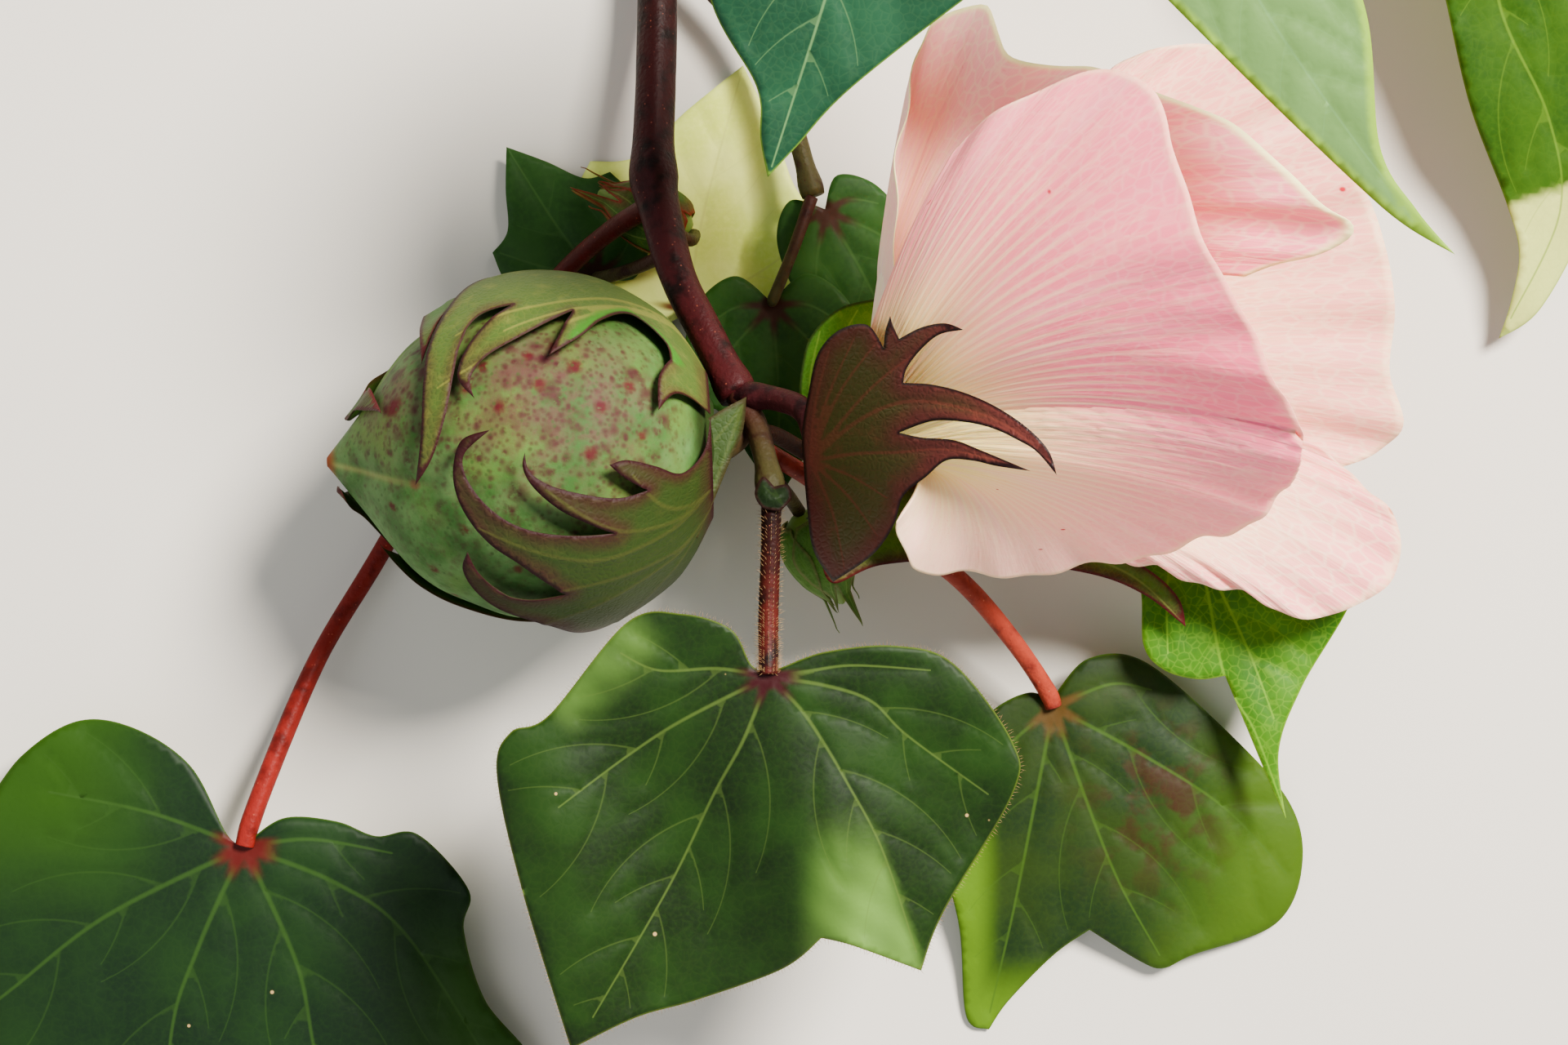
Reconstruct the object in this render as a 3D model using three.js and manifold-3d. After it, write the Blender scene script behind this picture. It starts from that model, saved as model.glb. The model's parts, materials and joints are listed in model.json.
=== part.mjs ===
// A cut cotton branch that lies on a table: a stem with one green boll, one open flower,
// two buds and ten leaves. Millimetres, +Z up.
//
// The branch is laid out as an eye straight above the middle of the table sees it. A place is
// [x, y, z]: x and y are read where the line of sight meets the table, and z is the height.
import * as THREE from 'three';
import { mergeVertices } from 'three/addons/utils/BufferGeometryUtils.js';
import Module from 'manifold-3d';

const wasm = await Module();
wasm.setup();

const EYE_HEIGHT = 400;
const GAP = 0.3;

const LEAF_THICKNESS = 0.7;
const BRACT_THICKNESS = 0.45;
const PETAL_THICKNESS = 0.7;

const LEAF_GRAIN = 9;
const BRACT_GRAIN = 5;
const RIM_SHARE = 0.6;
const PETAL_CELLS = [12, 7];

const RINGS_PER_STOP = 3;
const STEM_SIDES = 8;
const STALK_SIDES = 6;
const BOLL_SIDES = 24;
const CALYX_SIDES = 16;
const BUD_SIDES = 10;

const BOLL_BASE = [-8.5, 9.3, 24];
const BOLL_TIP = [-56, 7.4, 26];
const BOLL_BELLY = 19.5;

const CALYX_BASE = [5.5, 5, 34];
const FLOWER_TURN = 38;
const FLOWER_TILT = 8;
const CALYX_LENGTH = 8;
const CLAW_RADIUS = 4.2;

const COLOURS = {
  bark: [0x4a1d1c, 0.6],
  redStalk: [0xa83e30, 0.5],
  darkStalk: [0x3c1620, 0.6],
  greenStalk: [0x6f7f42, 0.6],
  boll: [0x8fb069, 0.45],
  bollBract: [0x6c7a4a, 0.7],
  flowerBract: [0x4f3a30, 0.7],
  calyx: [0x87a055, 0.6],
  petal: [0xf0b9bd, 0.6],
  column: [0xe8d488, 0.7],
  darkLeaf: [0x2f5a2c, 0.55],
  brightLeaf: [0x5f9a2c, 0.55],
  paleLeaf: [0x8fae84, 0.6],
};

// The place in space of a point that is seen at x, y on the table and stands z above it.
function seen(x, y, z) {
  const nearer = 1 - z / EYE_HEIGHT;
  return new THREE.Vector3(x * nearer, y * nearer, z);
}

// A closed body from points and faces, turned so that its faces point out.
function body(points, faces) {
  const volume = faces.reduce((sum, [a, b, c]) => {
    const side = new THREE.Vector3().crossVectors(points[b], points[c]);
    return sum + points[a].dot(side);
  }, 0);
  const order = volume < 0 ? faces.map(([a, b, c]) => [a, c, b]) : faces;
  const geometry = new THREE.BufferGeometry().setFromPoints(points);
  geometry.setIndex(order.flat());
  return geometry;
}

// Limbs

// Rings of equal sides joined in a row, closed by a flat cut at each end.
function loft(rings) {
  const sides = rings[0].length;
  const last = (rings.length - 1) * sides;
  const faces = [];
  for (let ring = 0; ring < last; ring += sides) {
    for (let i = 0; i < sides; i++) {
      const j = (i + 1) % sides;
      faces.push([ring + i, ring + j, ring + sides + i]);
      faces.push([ring + j, ring + sides + j, ring + sides + i]);
    }
  }
  for (let i = 1; i < sides - 1; i++) {
    faces.push([0, i + 1, i], [last, last + i, last + i + 1]);
  }
  return body(rings.flat(), faces);
}

// A tapering limb along a smooth curve. Each stop of the route is [x, y, z, radius].
function limb(route, grow = 0, sides = STEM_SIDES) {
  const curve = new THREE.CatmullRomCurve3(route.map(([x, y, z]) => seen(x, y, z)));
  const steps = (route.length - 1) * RINGS_PER_STOP;
  const normal = new THREE.Vector3(0, 0, 1);
  const rings = [];
  for (let step = 0; step <= steps; step++) {
    const t = step / steps;
    const ahead = curve.getTangent(t);
    const pastEnd = grow * (Number(step === steps) - Number(step === 0));
    const centre = curve.getPoint(t).addScaledVector(ahead, pastEnd);
    normal.addScaledVector(ahead, -normal.dot(ahead)).normalize();
    const across = new THREE.Vector3().crossVectors(ahead, normal);
    const stop = step / RINGS_PER_STOP;
    const from = Math.min(Math.floor(stop), route.length - 2);
    const radius = THREE.MathUtils.lerp(route[from][3], route[from + 1][3], stop - from) + grow;
    const ring = [];
    for (let i = 0; i < sides; i++) {
      const turn = (2 * Math.PI * (i + 0.5)) / sides;
      ring.push(centre.clone()
        .addScaledVector(normal, radius * Math.cos(turn))
        .addScaledVector(across, radius * Math.sin(turn)));
    }
    rings.push(ring);
  }
  return loft(rings);
}

function toSolid(geometry) {
  const bare = geometry.clone();
  bare.deleteAttribute('normal');
  bare.deleteAttribute('uv');
  const merged = mergeVertices(bare);
  return new wasm.Manifold(new wasm.Mesh({
    numProp: 3,
    vertProperties: new Float32Array(merged.attributes.position.array),
    triVerts: new Uint32Array(merged.index.array),
  }));
}

// A limb whose foot is cut to sit a gap away from the swollen shapes of what carries it.
// What the cut leaves on their far side is dropped.
function seated(geometry, ...carriers) {
  const cut = carriers.reduce((rest, carrier) => rest.subtract(toSolid(carrier)), toSolid(geometry));
  const [largest] = cut.decompose().sort((one, other) => other.volume() - one.volume());
  const mesh = largest.getMesh();
  const result = new THREE.BufferGeometry();
  result.setAttribute('position', new THREE.BufferAttribute(mesh.vertProperties, 3));
  result.setIndex(new THREE.BufferAttribute(mesh.triVerts, 1));
  return result;
}

// Blades

// A flat outline from stretches of smooth curve that meet in corners.
function outline(stretches, spacing) {
  const points = [];
  for (const stretch of stretches) {
    const curve = new THREE.SplineCurve(stretch.map(([x, y]) => new THREE.Vector2(x, y)));
    const pieces = Math.ceil(curve.getLength() / spacing);
    points.push(...curve.getSpacedPoints(pieces).slice(0, -1));
  }
  return points;
}

function sideKey(a, b) {
  return a < b ? `${a} ${b}` : `${b} ${a}`;
}

// The two faces on each inner side of a flat patch of triangles.
function innerSides(faces) {
  const sides = new Map();
  faces.forEach((face, f) => {
    for (let i = 0; i < 3; i++) {
      const a = face[i];
      const b = face[(i + 1) % 3];
      const key = sideKey(a, b);
      if (!sides.has(key)) sides.set(key, { a, b, beside: [] });
      sides.get(key).beside.push([f, face[(i + 2) % 3]]);
    }
  });
  return [...sides.values()].filter((side) => side.beside.length === 2);
}

function replaceCorner(face, old, next) {
  return face.map((corner) => (corner === old ? next : corner));
}

// True where the other diagonal of the two faces at a side is shorter and lies inside them.
function flips(points, { a, b, beside }) {
  const clearlyShorter = 0.999;
  const [p, q] = [points[beside[0][1]], points[beside[1][1]]];
  if (p.distanceTo(q) > points[a].distanceTo(points[b]) * clearlyShorter) return false;
  const turn = (from, to, point) => to.clone().sub(from).cross(point.clone().sub(from));
  const room = 1e-3;
  const [sideA, sideB] = [turn(p, q, points[a]), turn(p, q, points[b])];
  return sideA * sideB < 0 && Math.min(Math.abs(sideA), Math.abs(sideB)) > room;
}

// Turns the diagonals of long thin faces, once over the whole patch.
function rounded(points, faces) {
  const touched = new Set();
  for (const side of innerSides(faces)) {
    const [[f, p], [g, q]] = side.beside;
    if (touched.has(f) || touched.has(g) || !flips(points, side)) continue;
    faces[f] = replaceCorner(faces[f], side.b, q);
    faces[g] = replaceCorner(faces[g], side.a, p);
    touched.add(f).add(g);
  }
  return touched.size > 0;
}

// Triangles for a flat outline, split until no inner side is longer than the grain.
function patch(rim, grain) {
  const points = rim.map((point) => point.clone());
  const faces = THREE.ShapeUtils.triangulateShape(points, []);
  const length = (side) => points[side.a].distanceTo(points[side.b]);
  for (;;) {
    while (rounded(points, faces));
    const sides = innerSides(faces).sort((one, other) => length(other) - length(one));
    if (!sides.length || length(sides[0]) <= grain) return { points, faces };
    const { a, b, beside } = sides[0];
    const middle = points.push(points[a].clone().lerp(points[b], 0.5)) - 1;
    for (const [f] of beside) {
      faces.push(replaceCorner(faces[f], a, middle));
      faces[f] = replaceCorner(faces[f], b, middle);
    }
  }
}

// A thin closed blade. place(x, y, offset) puts a point of the flat outline in space,
// moved by the offset through the thickness.
function blade(stretches, place, thickness, grain) {
  const rim = outline(stretches, grain * RIM_SHARE);
  const { points, faces } = patch(rim, grain);
  const under = points.length;
  const all = [
    ...points.map(({ x, y }) => place(x, y, thickness / 2)),
    ...points.map(({ x, y }) => place(x, y, -thickness / 2)),
  ];
  const skin = faces.flatMap(([a, b, c]) => [[a, b, c], [under + a, under + c, under + b]]);
  const inTurn = faces.some((face) => face.includes(0) && face[(face.indexOf(0) + 1) % 3] === 1);
  rim.forEach((_, i) => {
    const j = (i + 1) % rim.length;
    const wall = [[i, under + i, j], [j, under + i, under + j]];
    skin.push(...(inTurn ? wall : wall.map(([a, b, c]) => [a, c, b])));
  });
  return body(all, skin);
}

// A thin closed sheet over a grid of across by along cells, thickened both ways.
function sheet(across, along, surface, thickness) {
  const faces = [];
  const top = [];
  const bottom = [];
  const nudge = 0.01;
  for (let j = 0; j <= along; j++) {
    for (let i = 0; i <= across; i++) {
      const [u, v] = [i / across, j / along];
      const centre = surface(u, v);
      const du = surface(Math.min(u + nudge, 1), v).sub(surface(Math.max(u - nudge, 0), v));
      const dv = surface(u, Math.min(v + nudge, 1)).sub(surface(u, Math.max(v - nudge, 0)));
      const normal = du.cross(dv).normalize();
      top.push(centre.clone().addScaledVector(normal, thickness / 2));
      bottom.push(centre.clone().addScaledVector(normal, -thickness / 2));
    }
  }
  const row = across + 1;
  const under = top.length;
  for (let j = 0; j < along; j++) {
    for (let i = 0; i < across; i++) {
      const a = j * row + i;
      const [b, c, d] = [a + 1, a + row + 1, a + row];
      faces.push([a, b, c], [a, c, d]);
      faces.push([under + a, under + c, under + b], [under + a, under + d, under + c]);
    }
  }
  const edge = [
    ...Array.from({ length: across }, (_, i) => i),
    ...Array.from({ length: along }, (_, j) => j * row + across),
    ...Array.from({ length: across }, (_, i) => along * row + across - i),
    ...Array.from({ length: along }, (_, j) => (along - j) * row),
  ];
  edge.forEach((a, i) => {
    const b = edge[(i + 1) % edge.length];
    faces.push([a, under + a, b], [b, under + a, under + b]);
  });
  return body([...top, ...bottom], faces);
}

// A body turned about its own axis, which runs from one point in space towards another.
function turned(profile, from, towards, sides) {
  const stops = profile.map(([along, radius]) => new THREE.Vector2(radius, along));
  const curve = new THREE.SplineCurve(stops);
  const rounds = curve.getPoints(profile.length * 2 - 2);
  rounds.forEach((point) => point.setX(Math.max(point.x, 0)));
  const ends = [new THREE.Vector2(0, rounds[0].y), ...rounds, new THREE.Vector2(0, rounds.at(-1).y)];
  const geometry = new THREE.LatheGeometry(ends, sides);
  const axis = towards.clone().sub(from).normalize();
  const turn = new THREE.Quaternion().setFromUnitVectors(new THREE.Vector3(0, 1, 0), axis);
  geometry.applyQuaternion(turn);
  geometry.translate(from.x, from.y, from.z);
  return geometry;
}

const branch = new THREE.Group();

function add(name, geometry, [colour, roughness]) {
  const material = new THREE.MeshStandardMaterial({ color: colour, roughness, metalness: 0 });
  const mesh = new THREE.Mesh(geometry, material);
  mesh.name = name;
  branch.add(mesh);
}

// Stems. The main stem runs from its cut end down to the fork, with a swelling at its node.
const STEM = [
  [-15.5, 90, 2.8, 2.7], [-15.5, 64, 7.5, 2.4], [-15.7, 54, 10.5, 2.35], [-16, 42, 14, 2.6],
  [-15.2, 38, 15.5, 2.4], [-13, 30, 18, 2.15], [-10, 24, 20.5, 2.05], [-5.6, 15.6, 24, 1.9],
];
const SIDE_STEM = [
  [-5.6, 15.6, 24, 1.5], [-3.5, 12, 25.5, 1.45], [-2.3, 8, 27.5, 1.35], [-1.5, 3.6, 29.2, 1.4],
];
const RIGHT_BRANCH = [
  [-15.5, 84, 3.9, 2], [4, 96, 10, 1.9], [34, 104, 16, 1.7], [62, 107, 20.5, 1.5], [77, 107, 23, 1.4],
  [83.6, 102.6, 24.2, 1.3], [84, 97.6, 24, 1.2],
];
const BACK_TWIG = [[-15.5, 72, 6.1, 1.4], [-5, 61, 6, 1.3], [0, 52, 7, 1.2], [3.6, 40, 8, 1.1]];

const stemSleeve = limb(STEM, GAP);
add('stem_main', limb(STEM), COLOURS.bark);
const sideStemSleeve = limb(SIDE_STEM, GAP);
add('stem_side', seated(limb(SIDE_STEM), stemSleeve), COLOURS.greenStalk);
const branchSleeve = limb(RIGHT_BRANCH, GAP);
add('branch_right', seated(limb(RIGHT_BRANCH), stemSleeve), COLOURS.bark);
add('twig_back', seated(limb(BACK_TWIG), stemSleeve), COLOURS.greenStalk);

// The boll: a round body with a drawn-out tip, in a cup of three toothed bracts.
const BOLL_PROFILE = [
  [0, 5], [3, 10.6], [6, 14], [12, 17.6], [18, 18.8], [24, 18.5], [30, 16.2],
  [34, 13.6], [37, 10.4], [40, 6.2], [42, 3.6], [44.4, 0.6],
];
const BOLL_STALK = [[-5.3, 14.6, 24.4, 1.4], [-5.2, 11.2, 24, 1.5], [-7.6, 9.5, 24, 2]];
const bollBase = seen(...BOLL_BASE);
const bollTip = seen(...BOLL_TIP);

function bollBody(grow = 0) {
  const profile = BOLL_PROFILE.map(([along, radius]) => [along, radius + grow]);
  profile[0][0] -= grow;
  return turned(profile, bollBase, bollTip, BOLL_SIDES);
}
add('boll', bollBody(), COLOURS.boll);
add('boll_stalk', seated(limb(BOLL_STALK), stemSleeve, sideStemSleeve, bollBody(GAP)), COLOURS.greenStalk);

// The boll's radius at a length along its axis.
const bollStops = BOLL_PROFILE.map(([along, radius]) => new THREE.Vector2(along, radius));
const bollRounds = new THREE.SplineCurve(bollStops).getPoints(BOLL_PROFILE.length * 2 - 2);
function bollRadius(along) {
  const next = bollRounds.findIndex((point) => point.x >= along);
  if (next < 1) return next === 0 ? bollRounds[0].y : bollRounds.at(-1).y;
  const [low, high] = [bollRounds[next - 1], bollRounds[next]];
  return THREE.MathUtils.lerp(low.y, high.y, (along - low.x) / (high.x - low.x));
}

// A bract is drawn flat: x is the way along the boll from its base, and y the way round it,
// measured at the belly, from the side that faces up.
const bollAxis = bollTip.clone().sub(bollBase).normalize();
const bollUp = new THREE.Vector3(0, 0, 1).addScaledVector(bollAxis, -bollAxis.z).normalize();
const bollDown = new THREE.Vector3().crossVectors(bollUp, bollAxis);
function aroundBoll(lift) {
  return (along, round, offset) => {
    const radius = bollRadius(along) + lift + offset;
    const turn = round / BOLL_BELLY;
    return bollBase.clone()
      .addScaledVector(bollAxis, along)
      .addScaledVector(bollUp, radius * Math.cos(turn))
      .addScaledVector(bollDown, radius * Math.sin(turn));
  };
}
const INNER_LIFT = 1;
const OUTER_LIFT = 1.8;

const LOWER_BOLL_BRACT = [
  [[0.5, -8], [1.4, 1.1], [3.8, 4.3], [6.9, 2.7], [10, 1.6], [12, 2]],
  [[12, 2], [10.4, 3.6], [7.9, 5.5]],
  [[7.9, 5.5], [11, 5.8], [15.3, 4.8], [18.6, 3.7], [20.7, 2.2], [21.1, 0.3]],
  [[21.1, 0.3], [21.4, 1.8], [20.4, 3.8], [17.8, 6.2], [14.8, 8], [11.7, 9.8]],
  [[11.7, 9.8], [17.3, 9.2], [21, 8.4], [24, 7], [26.4, 4.8], [27.8, 2.2], [27.6, 0], [24.8, -2.2]],
  [[24.8, -2.2], [27.9, -1.4], [29, 1.4], [28.9, 4.4], [27.7, 7.4], [25.4, 10.2], [22.1, 12.6], [17.4, 17]],
  [[17.4, 17], [21.5, 17.6], [24.6, 16.6], [26.9, 14.4], [28, 11.7]],
  [[28, 11.7], [28.7, 14.2], [27.8, 17], [25.6, 19.5], [21.8, 21.6], [18.9, 24], [15, 30], [9, 35],
    [0.5, 38]],
  [[0.5, 38], [0.5, 26], [0.5, 14], [0.5, 3], [0.5, -8]],
];
const UPPER_BOLL_BRACT = [
  [[0.5, -14], [5.7, -17.5], [8.7, -18.7], [12.2, -15.6], [14.6, -12.6], [18.1, -10]],
  [[18.1, -10], [16.6, -13.4], [15.4, -16.2]],
  [[15.4, -16.2], [20.9, -12.6], [25.1, -10.3], [26.8, -8.2], [26.4, -5.8]],
  [[26.4, -5.8], [28.2, -8.6], [27.4, -11.8], [25.2, -14.8], [22, -17.4]],
  [[22, -17.4], [26, -16.6], [27.9, -13], [28.7, -9], [29.7, -4.3], [31.3, 0.4], [33.4, 4]],
  [[33.4, 4], [32.5, -2.6], [32.1, -9.6], [31.5, -14.7], [29.5, -21], [26, -29], [19, -38], [0.5, -46]],
  [[0.5, -46], [0.5, -36], [0.5, -25], [0.5, -14]],
];
const BACK_BOLL_BRACT = [
  [[0.5, 41], [12, 36.5], [24, 35], [33, 32], [38.6, 28]],
  [[38.6, 28], [37.4, 35], [36.6, 42]],
  [[36.6, 42], [40.6, 34], [42.6, 24], [42.9, 15]],
  [[42.9, 15], [43.4, 30], [42.4, 44], [39, 54], [36, 60]],
  [[36, 60], [39.5, 74], [42.2, 90], [40.6, 104], [37.2, 114]],
  [[37.2, 114], [38.9, 102], [39.4, 92], [36, 82], [32, 78]],
  [[32, 78], [32.6, 90], [32.8, 100], [32.4, 109]],
  [[32.4, 109], [29.4, 98], [27, 86], [22, 79], [12, 77], [0.5, 76]],
  [[0.5, 76], [0.5, 64], [0.5, 52], [0.5, 41]],
];
const BOLL_BRACTS = {
  boll_bract_lower: [LOWER_BOLL_BRACT, OUTER_LIFT],
  boll_bract_upper: [UPPER_BOLL_BRACT, OUTER_LIFT],
  boll_bract_back: [BACK_BOLL_BRACT, INNER_LIFT],
};
for (const [name, [shape, lift]] of Object.entries(BOLL_BRACTS)) {
  add(name, blade(shape, aroundBoll(lift), BRACT_THICKNESS, BRACT_GRAIN), COLOURS.bollBract);
}

// The flower: a stalk, a calyx, five petals that each lap the next, and a staminal column.
const FLOWER_STALK = [
  [-5.6, 15.6, 24, 1.4], [-1, 15.2, 27.5, 1.4], [2.5, 13.6, 31, 1.4], [4.2, 9.5, 33, 1.5],
  [6.2, 6, 34.2, 1.8],
];
const turnRadians = THREE.MathUtils.degToRad(FLOWER_TURN);
const tiltRadians = THREE.MathUtils.degToRad(FLOWER_TILT);
const flowerAxis = new THREE.Vector3(
  Math.cos(tiltRadians) * Math.cos(turnRadians),
  Math.cos(tiltRadians) * Math.sin(turnRadians),
  Math.sin(tiltRadians),
);
const flowerFront = new THREE.Vector3(0, 0, 1).addScaledVector(flowerAxis, -flowerAxis.z).normalize();
const flowerLeft = new THREE.Vector3().crossVectors(flowerFront, flowerAxis);
const calyxBase = seen(...CALYX_BASE);
const clawCentre = calyxBase.clone().addScaledVector(flowerAxis, CALYX_LENGTH + GAP);

// The way out from the flower's axis, at an angle from its upper side towards its left.
function outwards(degrees) {
  const angle = THREE.MathUtils.degToRad(degrees);
  return flowerFront.clone().multiplyScalar(Math.cos(angle)).addScaledVector(flowerLeft, Math.sin(angle));
}

const CALYX_PROFILE = [[0, 2], [2, 3.6], [5, 5], [CALYX_LENGTH, 5.4]];
const COLUMN_PROFILE = [[0, 2.2], [6, 2], [12, 3.2], [20, 3.4], [26, 2], [29, 0.8]];

function calyxBody(grow = 0) {
  const profile = CALYX_PROFILE.map(([along, radius]) => [along, radius + grow]);
  profile[0][0] -= grow;
  return turned(profile, calyxBase, clawCentre, CALYX_SIDES);
}
add('flower_calyx', calyxBody(), COLOURS.calyx);
const flowerStalk = seated(limb(FLOWER_STALK), stemSleeve, sideStemSleeve, calyxBody(GAP));
add('flower_stalk', flowerStalk, COLOURS.darkStalk);
const columnEnd = clawCentre.clone().add(flowerAxis);
add('stamen_column', turned(COLUMN_PROFILE, clawCentre, columnEnd, BUD_SIDES), COLOURS.column);

const CLAW_SPREAD = 84;
const CLAW_LAP = 1.6;
const VEIN_SPREAD = 72;
const FLARE = 46;
const LAP = 16;

// A petal is a fan of veins. Each leaves the claw outwards and bends to its place on the margin.
function petal(angle, margin) {
  const rim = new THREE.CatmullRomCurve3(margin.map((place) => seen(...place)));
  const surface = (u, v) => {
    const side = u - 0.5;
    const footRadius = CLAW_RADIUS + CLAW_LAP * side;
    const foot = clawCentre.clone().addScaledVector(outwards(angle + CLAW_SPREAD * side), footRadius);
    const end = rim.getPointAt(u);
    const flare = THREE.MathUtils.degToRad(FLARE + LAP * side);
    const leaving = flowerAxis.clone().multiplyScalar(Math.cos(flare))
      .addScaledVector(outwards(angle + VEIN_SPREAD * side), Math.sin(flare));
    const bend = foot.clone().addScaledVector(leaving, foot.distanceTo(end) / 2);
    return new THREE.QuadraticBezierCurve3(foot, bend, end).getPoint(v);
  };
  return sheet(...PETAL_CELLS, surface, PETAL_THICKNESS);
}

const PETALS = {
  petal_front: [20, [
    [58, 5, 43], [63.5, 9.5, 54], [59, 20, 64], [51, 36, 70], [47.5, 46, 69], [45.5, 52.8, 66],
    [39.3, 55.6, 64], [30, 52.3, 61], [23.8, 48.7, 58], [19.7, 44, 55], [16.9, 34.7, 50],
  ]],
  petal_left: [92, [
    [56.3, 30.6, 42], [69.8, 35, 46], [64.5, 40.5, 50], [54.5, 49, 52], [45.8, 52.6, 50], [37.9, 55.8, 47],
    [27.9, 57, 41], [24.7, 63.4, 36], [19, 61.5, 36], [15.6, 56, 40], [14, 40.5, 42], [12.6, 27, 40],
  ]],
  petal_back: [164, [
    [38, 54, 24], [45.5, 58, 26], [54, 58, 26], [66, 49, 24], [72.1, 38.5, 22], [74.8, 27.3, 20],
    [74.2, 18.2, 18.5], [75.9, 12.1, 17], [72.8, 8.6, 15], [66, 6, 14],
  ]],
  petal_right: [226, [
    [64, 10, 17.5], [70, 5.6, 18], [75.2, -0.5, 19], [74.7, -6.7, 19.5], [68.8, -10.7, 20], [64, -11.8, 20],
    [55.4, -8.5, 20.5], [47.4, -6.4, 21], [40, -4, 22],
  ]],
  petal_lower: [308, [
    [14, 0, 38], [16, -5.7, 31], [24, -6.4, 27], [34, -6, 27], [42, -4.5, 29], [53.8, -1.6, 36],
    [62.9, 2.7, 46], [64.8, 5.4, 52], [60.2, 9, 60],
  ]],
};
for (const [name, [angle, margin]] of Object.entries(PETALS)) {
  add(name, petal(angle, margin), COLOURS.petal);
}

// The flower's bracts: one on top of the flower, one at its left side, one beneath it.
const FRONT_BRACT = [
  [[2.4, 7], [2.2, 11], [3, 16], [4.2, 20.8], [6.8, 23.6], [10.2, 24.2], [12.2, 21.4]],
  [[12.2, 21.4], [12.4, 23.4], [13, 25.3]],
  [[13, 25.3], [13.4, 24], [14.1, 22.5]],
  [[14.1, 22.5], [16.8, 23.9], [19.7, 24.4], [22, 23.6]],
  [[22, 23.6], [19, 23], [16.6, 21], [15, 18.8], [14.6, 17.1]],
  [[14.6, 17.1], [18.1, 16.9], [22.1, 15.9], [26.1, 14.1], [29.8, 11.6], [32.4, 8.8], [33.4, 5.8]],
  [[33.4, 5.8], [31, 8.6], [28.8, 10], [25.6, 11.5], [22.1, 12.3], [18.1, 12.4], [14.1, 11]],
  [[14.1, 11], [17, 10.4], [20.8, 10.1], [24, 8.9], [30.2, 6.3]],
  [[30.2, 6.3], [26.1, 6.9], [22.9, 7.6], [19.9, 7.6], [17.4, 5.6], [14.6, 3.2], [13.4, -0.4],
    [10.8, -4], [6, -7.3]],
  [[6, -7.3], [3.6, -3.4], [2.8, 2], [2.4, 7]],
];
const LEFT_BRACT = [
  [[2.9, 11.6], [1.9, 15], [2.2, 19.3], [3.4, 23], [6.9, 26.3], [12.5, 27.6]],
  [[12.5, 27.6], [17, 28.6], [21.5, 30]],
  [[21.5, 30], [18, 25.4], [13, 20.4], [7.4, 15.4], [2.9, 11.6]],
];
const UNDER_BRACT = [
  [[6.4, 4.4], [4.6, -2], [5.8, -7.4], [12, -5.2], [24, -4.6], [37, -6.2], [44, -8.8], [49.2, -12.8]],
  [[49.2, -12.8], [48.4, -9.4], [45, -6], [38, -2], [26, 3], [14, 4.8], [6.4, 4.4]],
];
// The top bract rises over the calyx and levels out above the petals.
function frontBractHeight(x, y) {
  const reach = (x - 2) / 32;
  return 33 + 28.6 * (1 - (1 - reach) ** 2) - 0.02 * Math.min(y - 10, 0) ** 2;
}
// Puts a flat outline at the height that a function gives over the table.
function over(height) {
  return (x, y, offset) => seen(x, y, height(x, y) + offset);
}
const FLOWER_BRACTS = {
  flower_bract_front: [FRONT_BRACT, frontBractHeight],
  flower_bract_left: [LEFT_BRACT, (x) => 28.5 - 0.16 * x],
  flower_bract_under: [UNDER_BRACT, (x) => 33.5 - 0.382 * x],
};
for (const [name, [shape, height]] of Object.entries(FLOWER_BRACTS)) {
  add(name, blade(shape, over(height), BRACT_THICKNESS, BRACT_GRAIN), COLOURS.flowerBract);
}

// Leaves. Each has its junction with the stalk, a fall from there in x and y, and a droop
// that grows with the square of the distance.
function leafHeight([x0, y0, z0], fallX, fallY, droop) {
  return (x, y) => {
    const [dx, dy] = [x - x0, y - y0];
    return z0 + fallX * dx + fallY * dy - droop * (dx * dx + dy * dy);
  };
}

// A plain cotton leaf: a heart with three pointed lobes, from its junction to its tip.
function plainLeaf([x0, y0], [x1, y1], width) {
  const length = Math.hypot(x1 - x0, y1 - y0);
  const [ax, ay] = [(x1 - x0) / length, (y1 - y0) / length];
  const at = (along, across) => [
    x0 + ax * along * length - ay * across * width,
    y0 + ay * along * length + ax * across * width,
  ];
  const half = (side) => [
    [at(0, 0), at(-0.14, side * 0.2), at(0, side * 0.42), at(0.26, side * 0.5), at(0.5, side * 0.46)],
    [at(0.5, side * 0.46), at(0.56, side * 0.3), at(0.78, side * 0.16), at(1, 0)],
  ];
  const back = half(-1).reverse().map((stretch) => stretch.reverse());
  return [...half(1), ...back];
}

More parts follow.
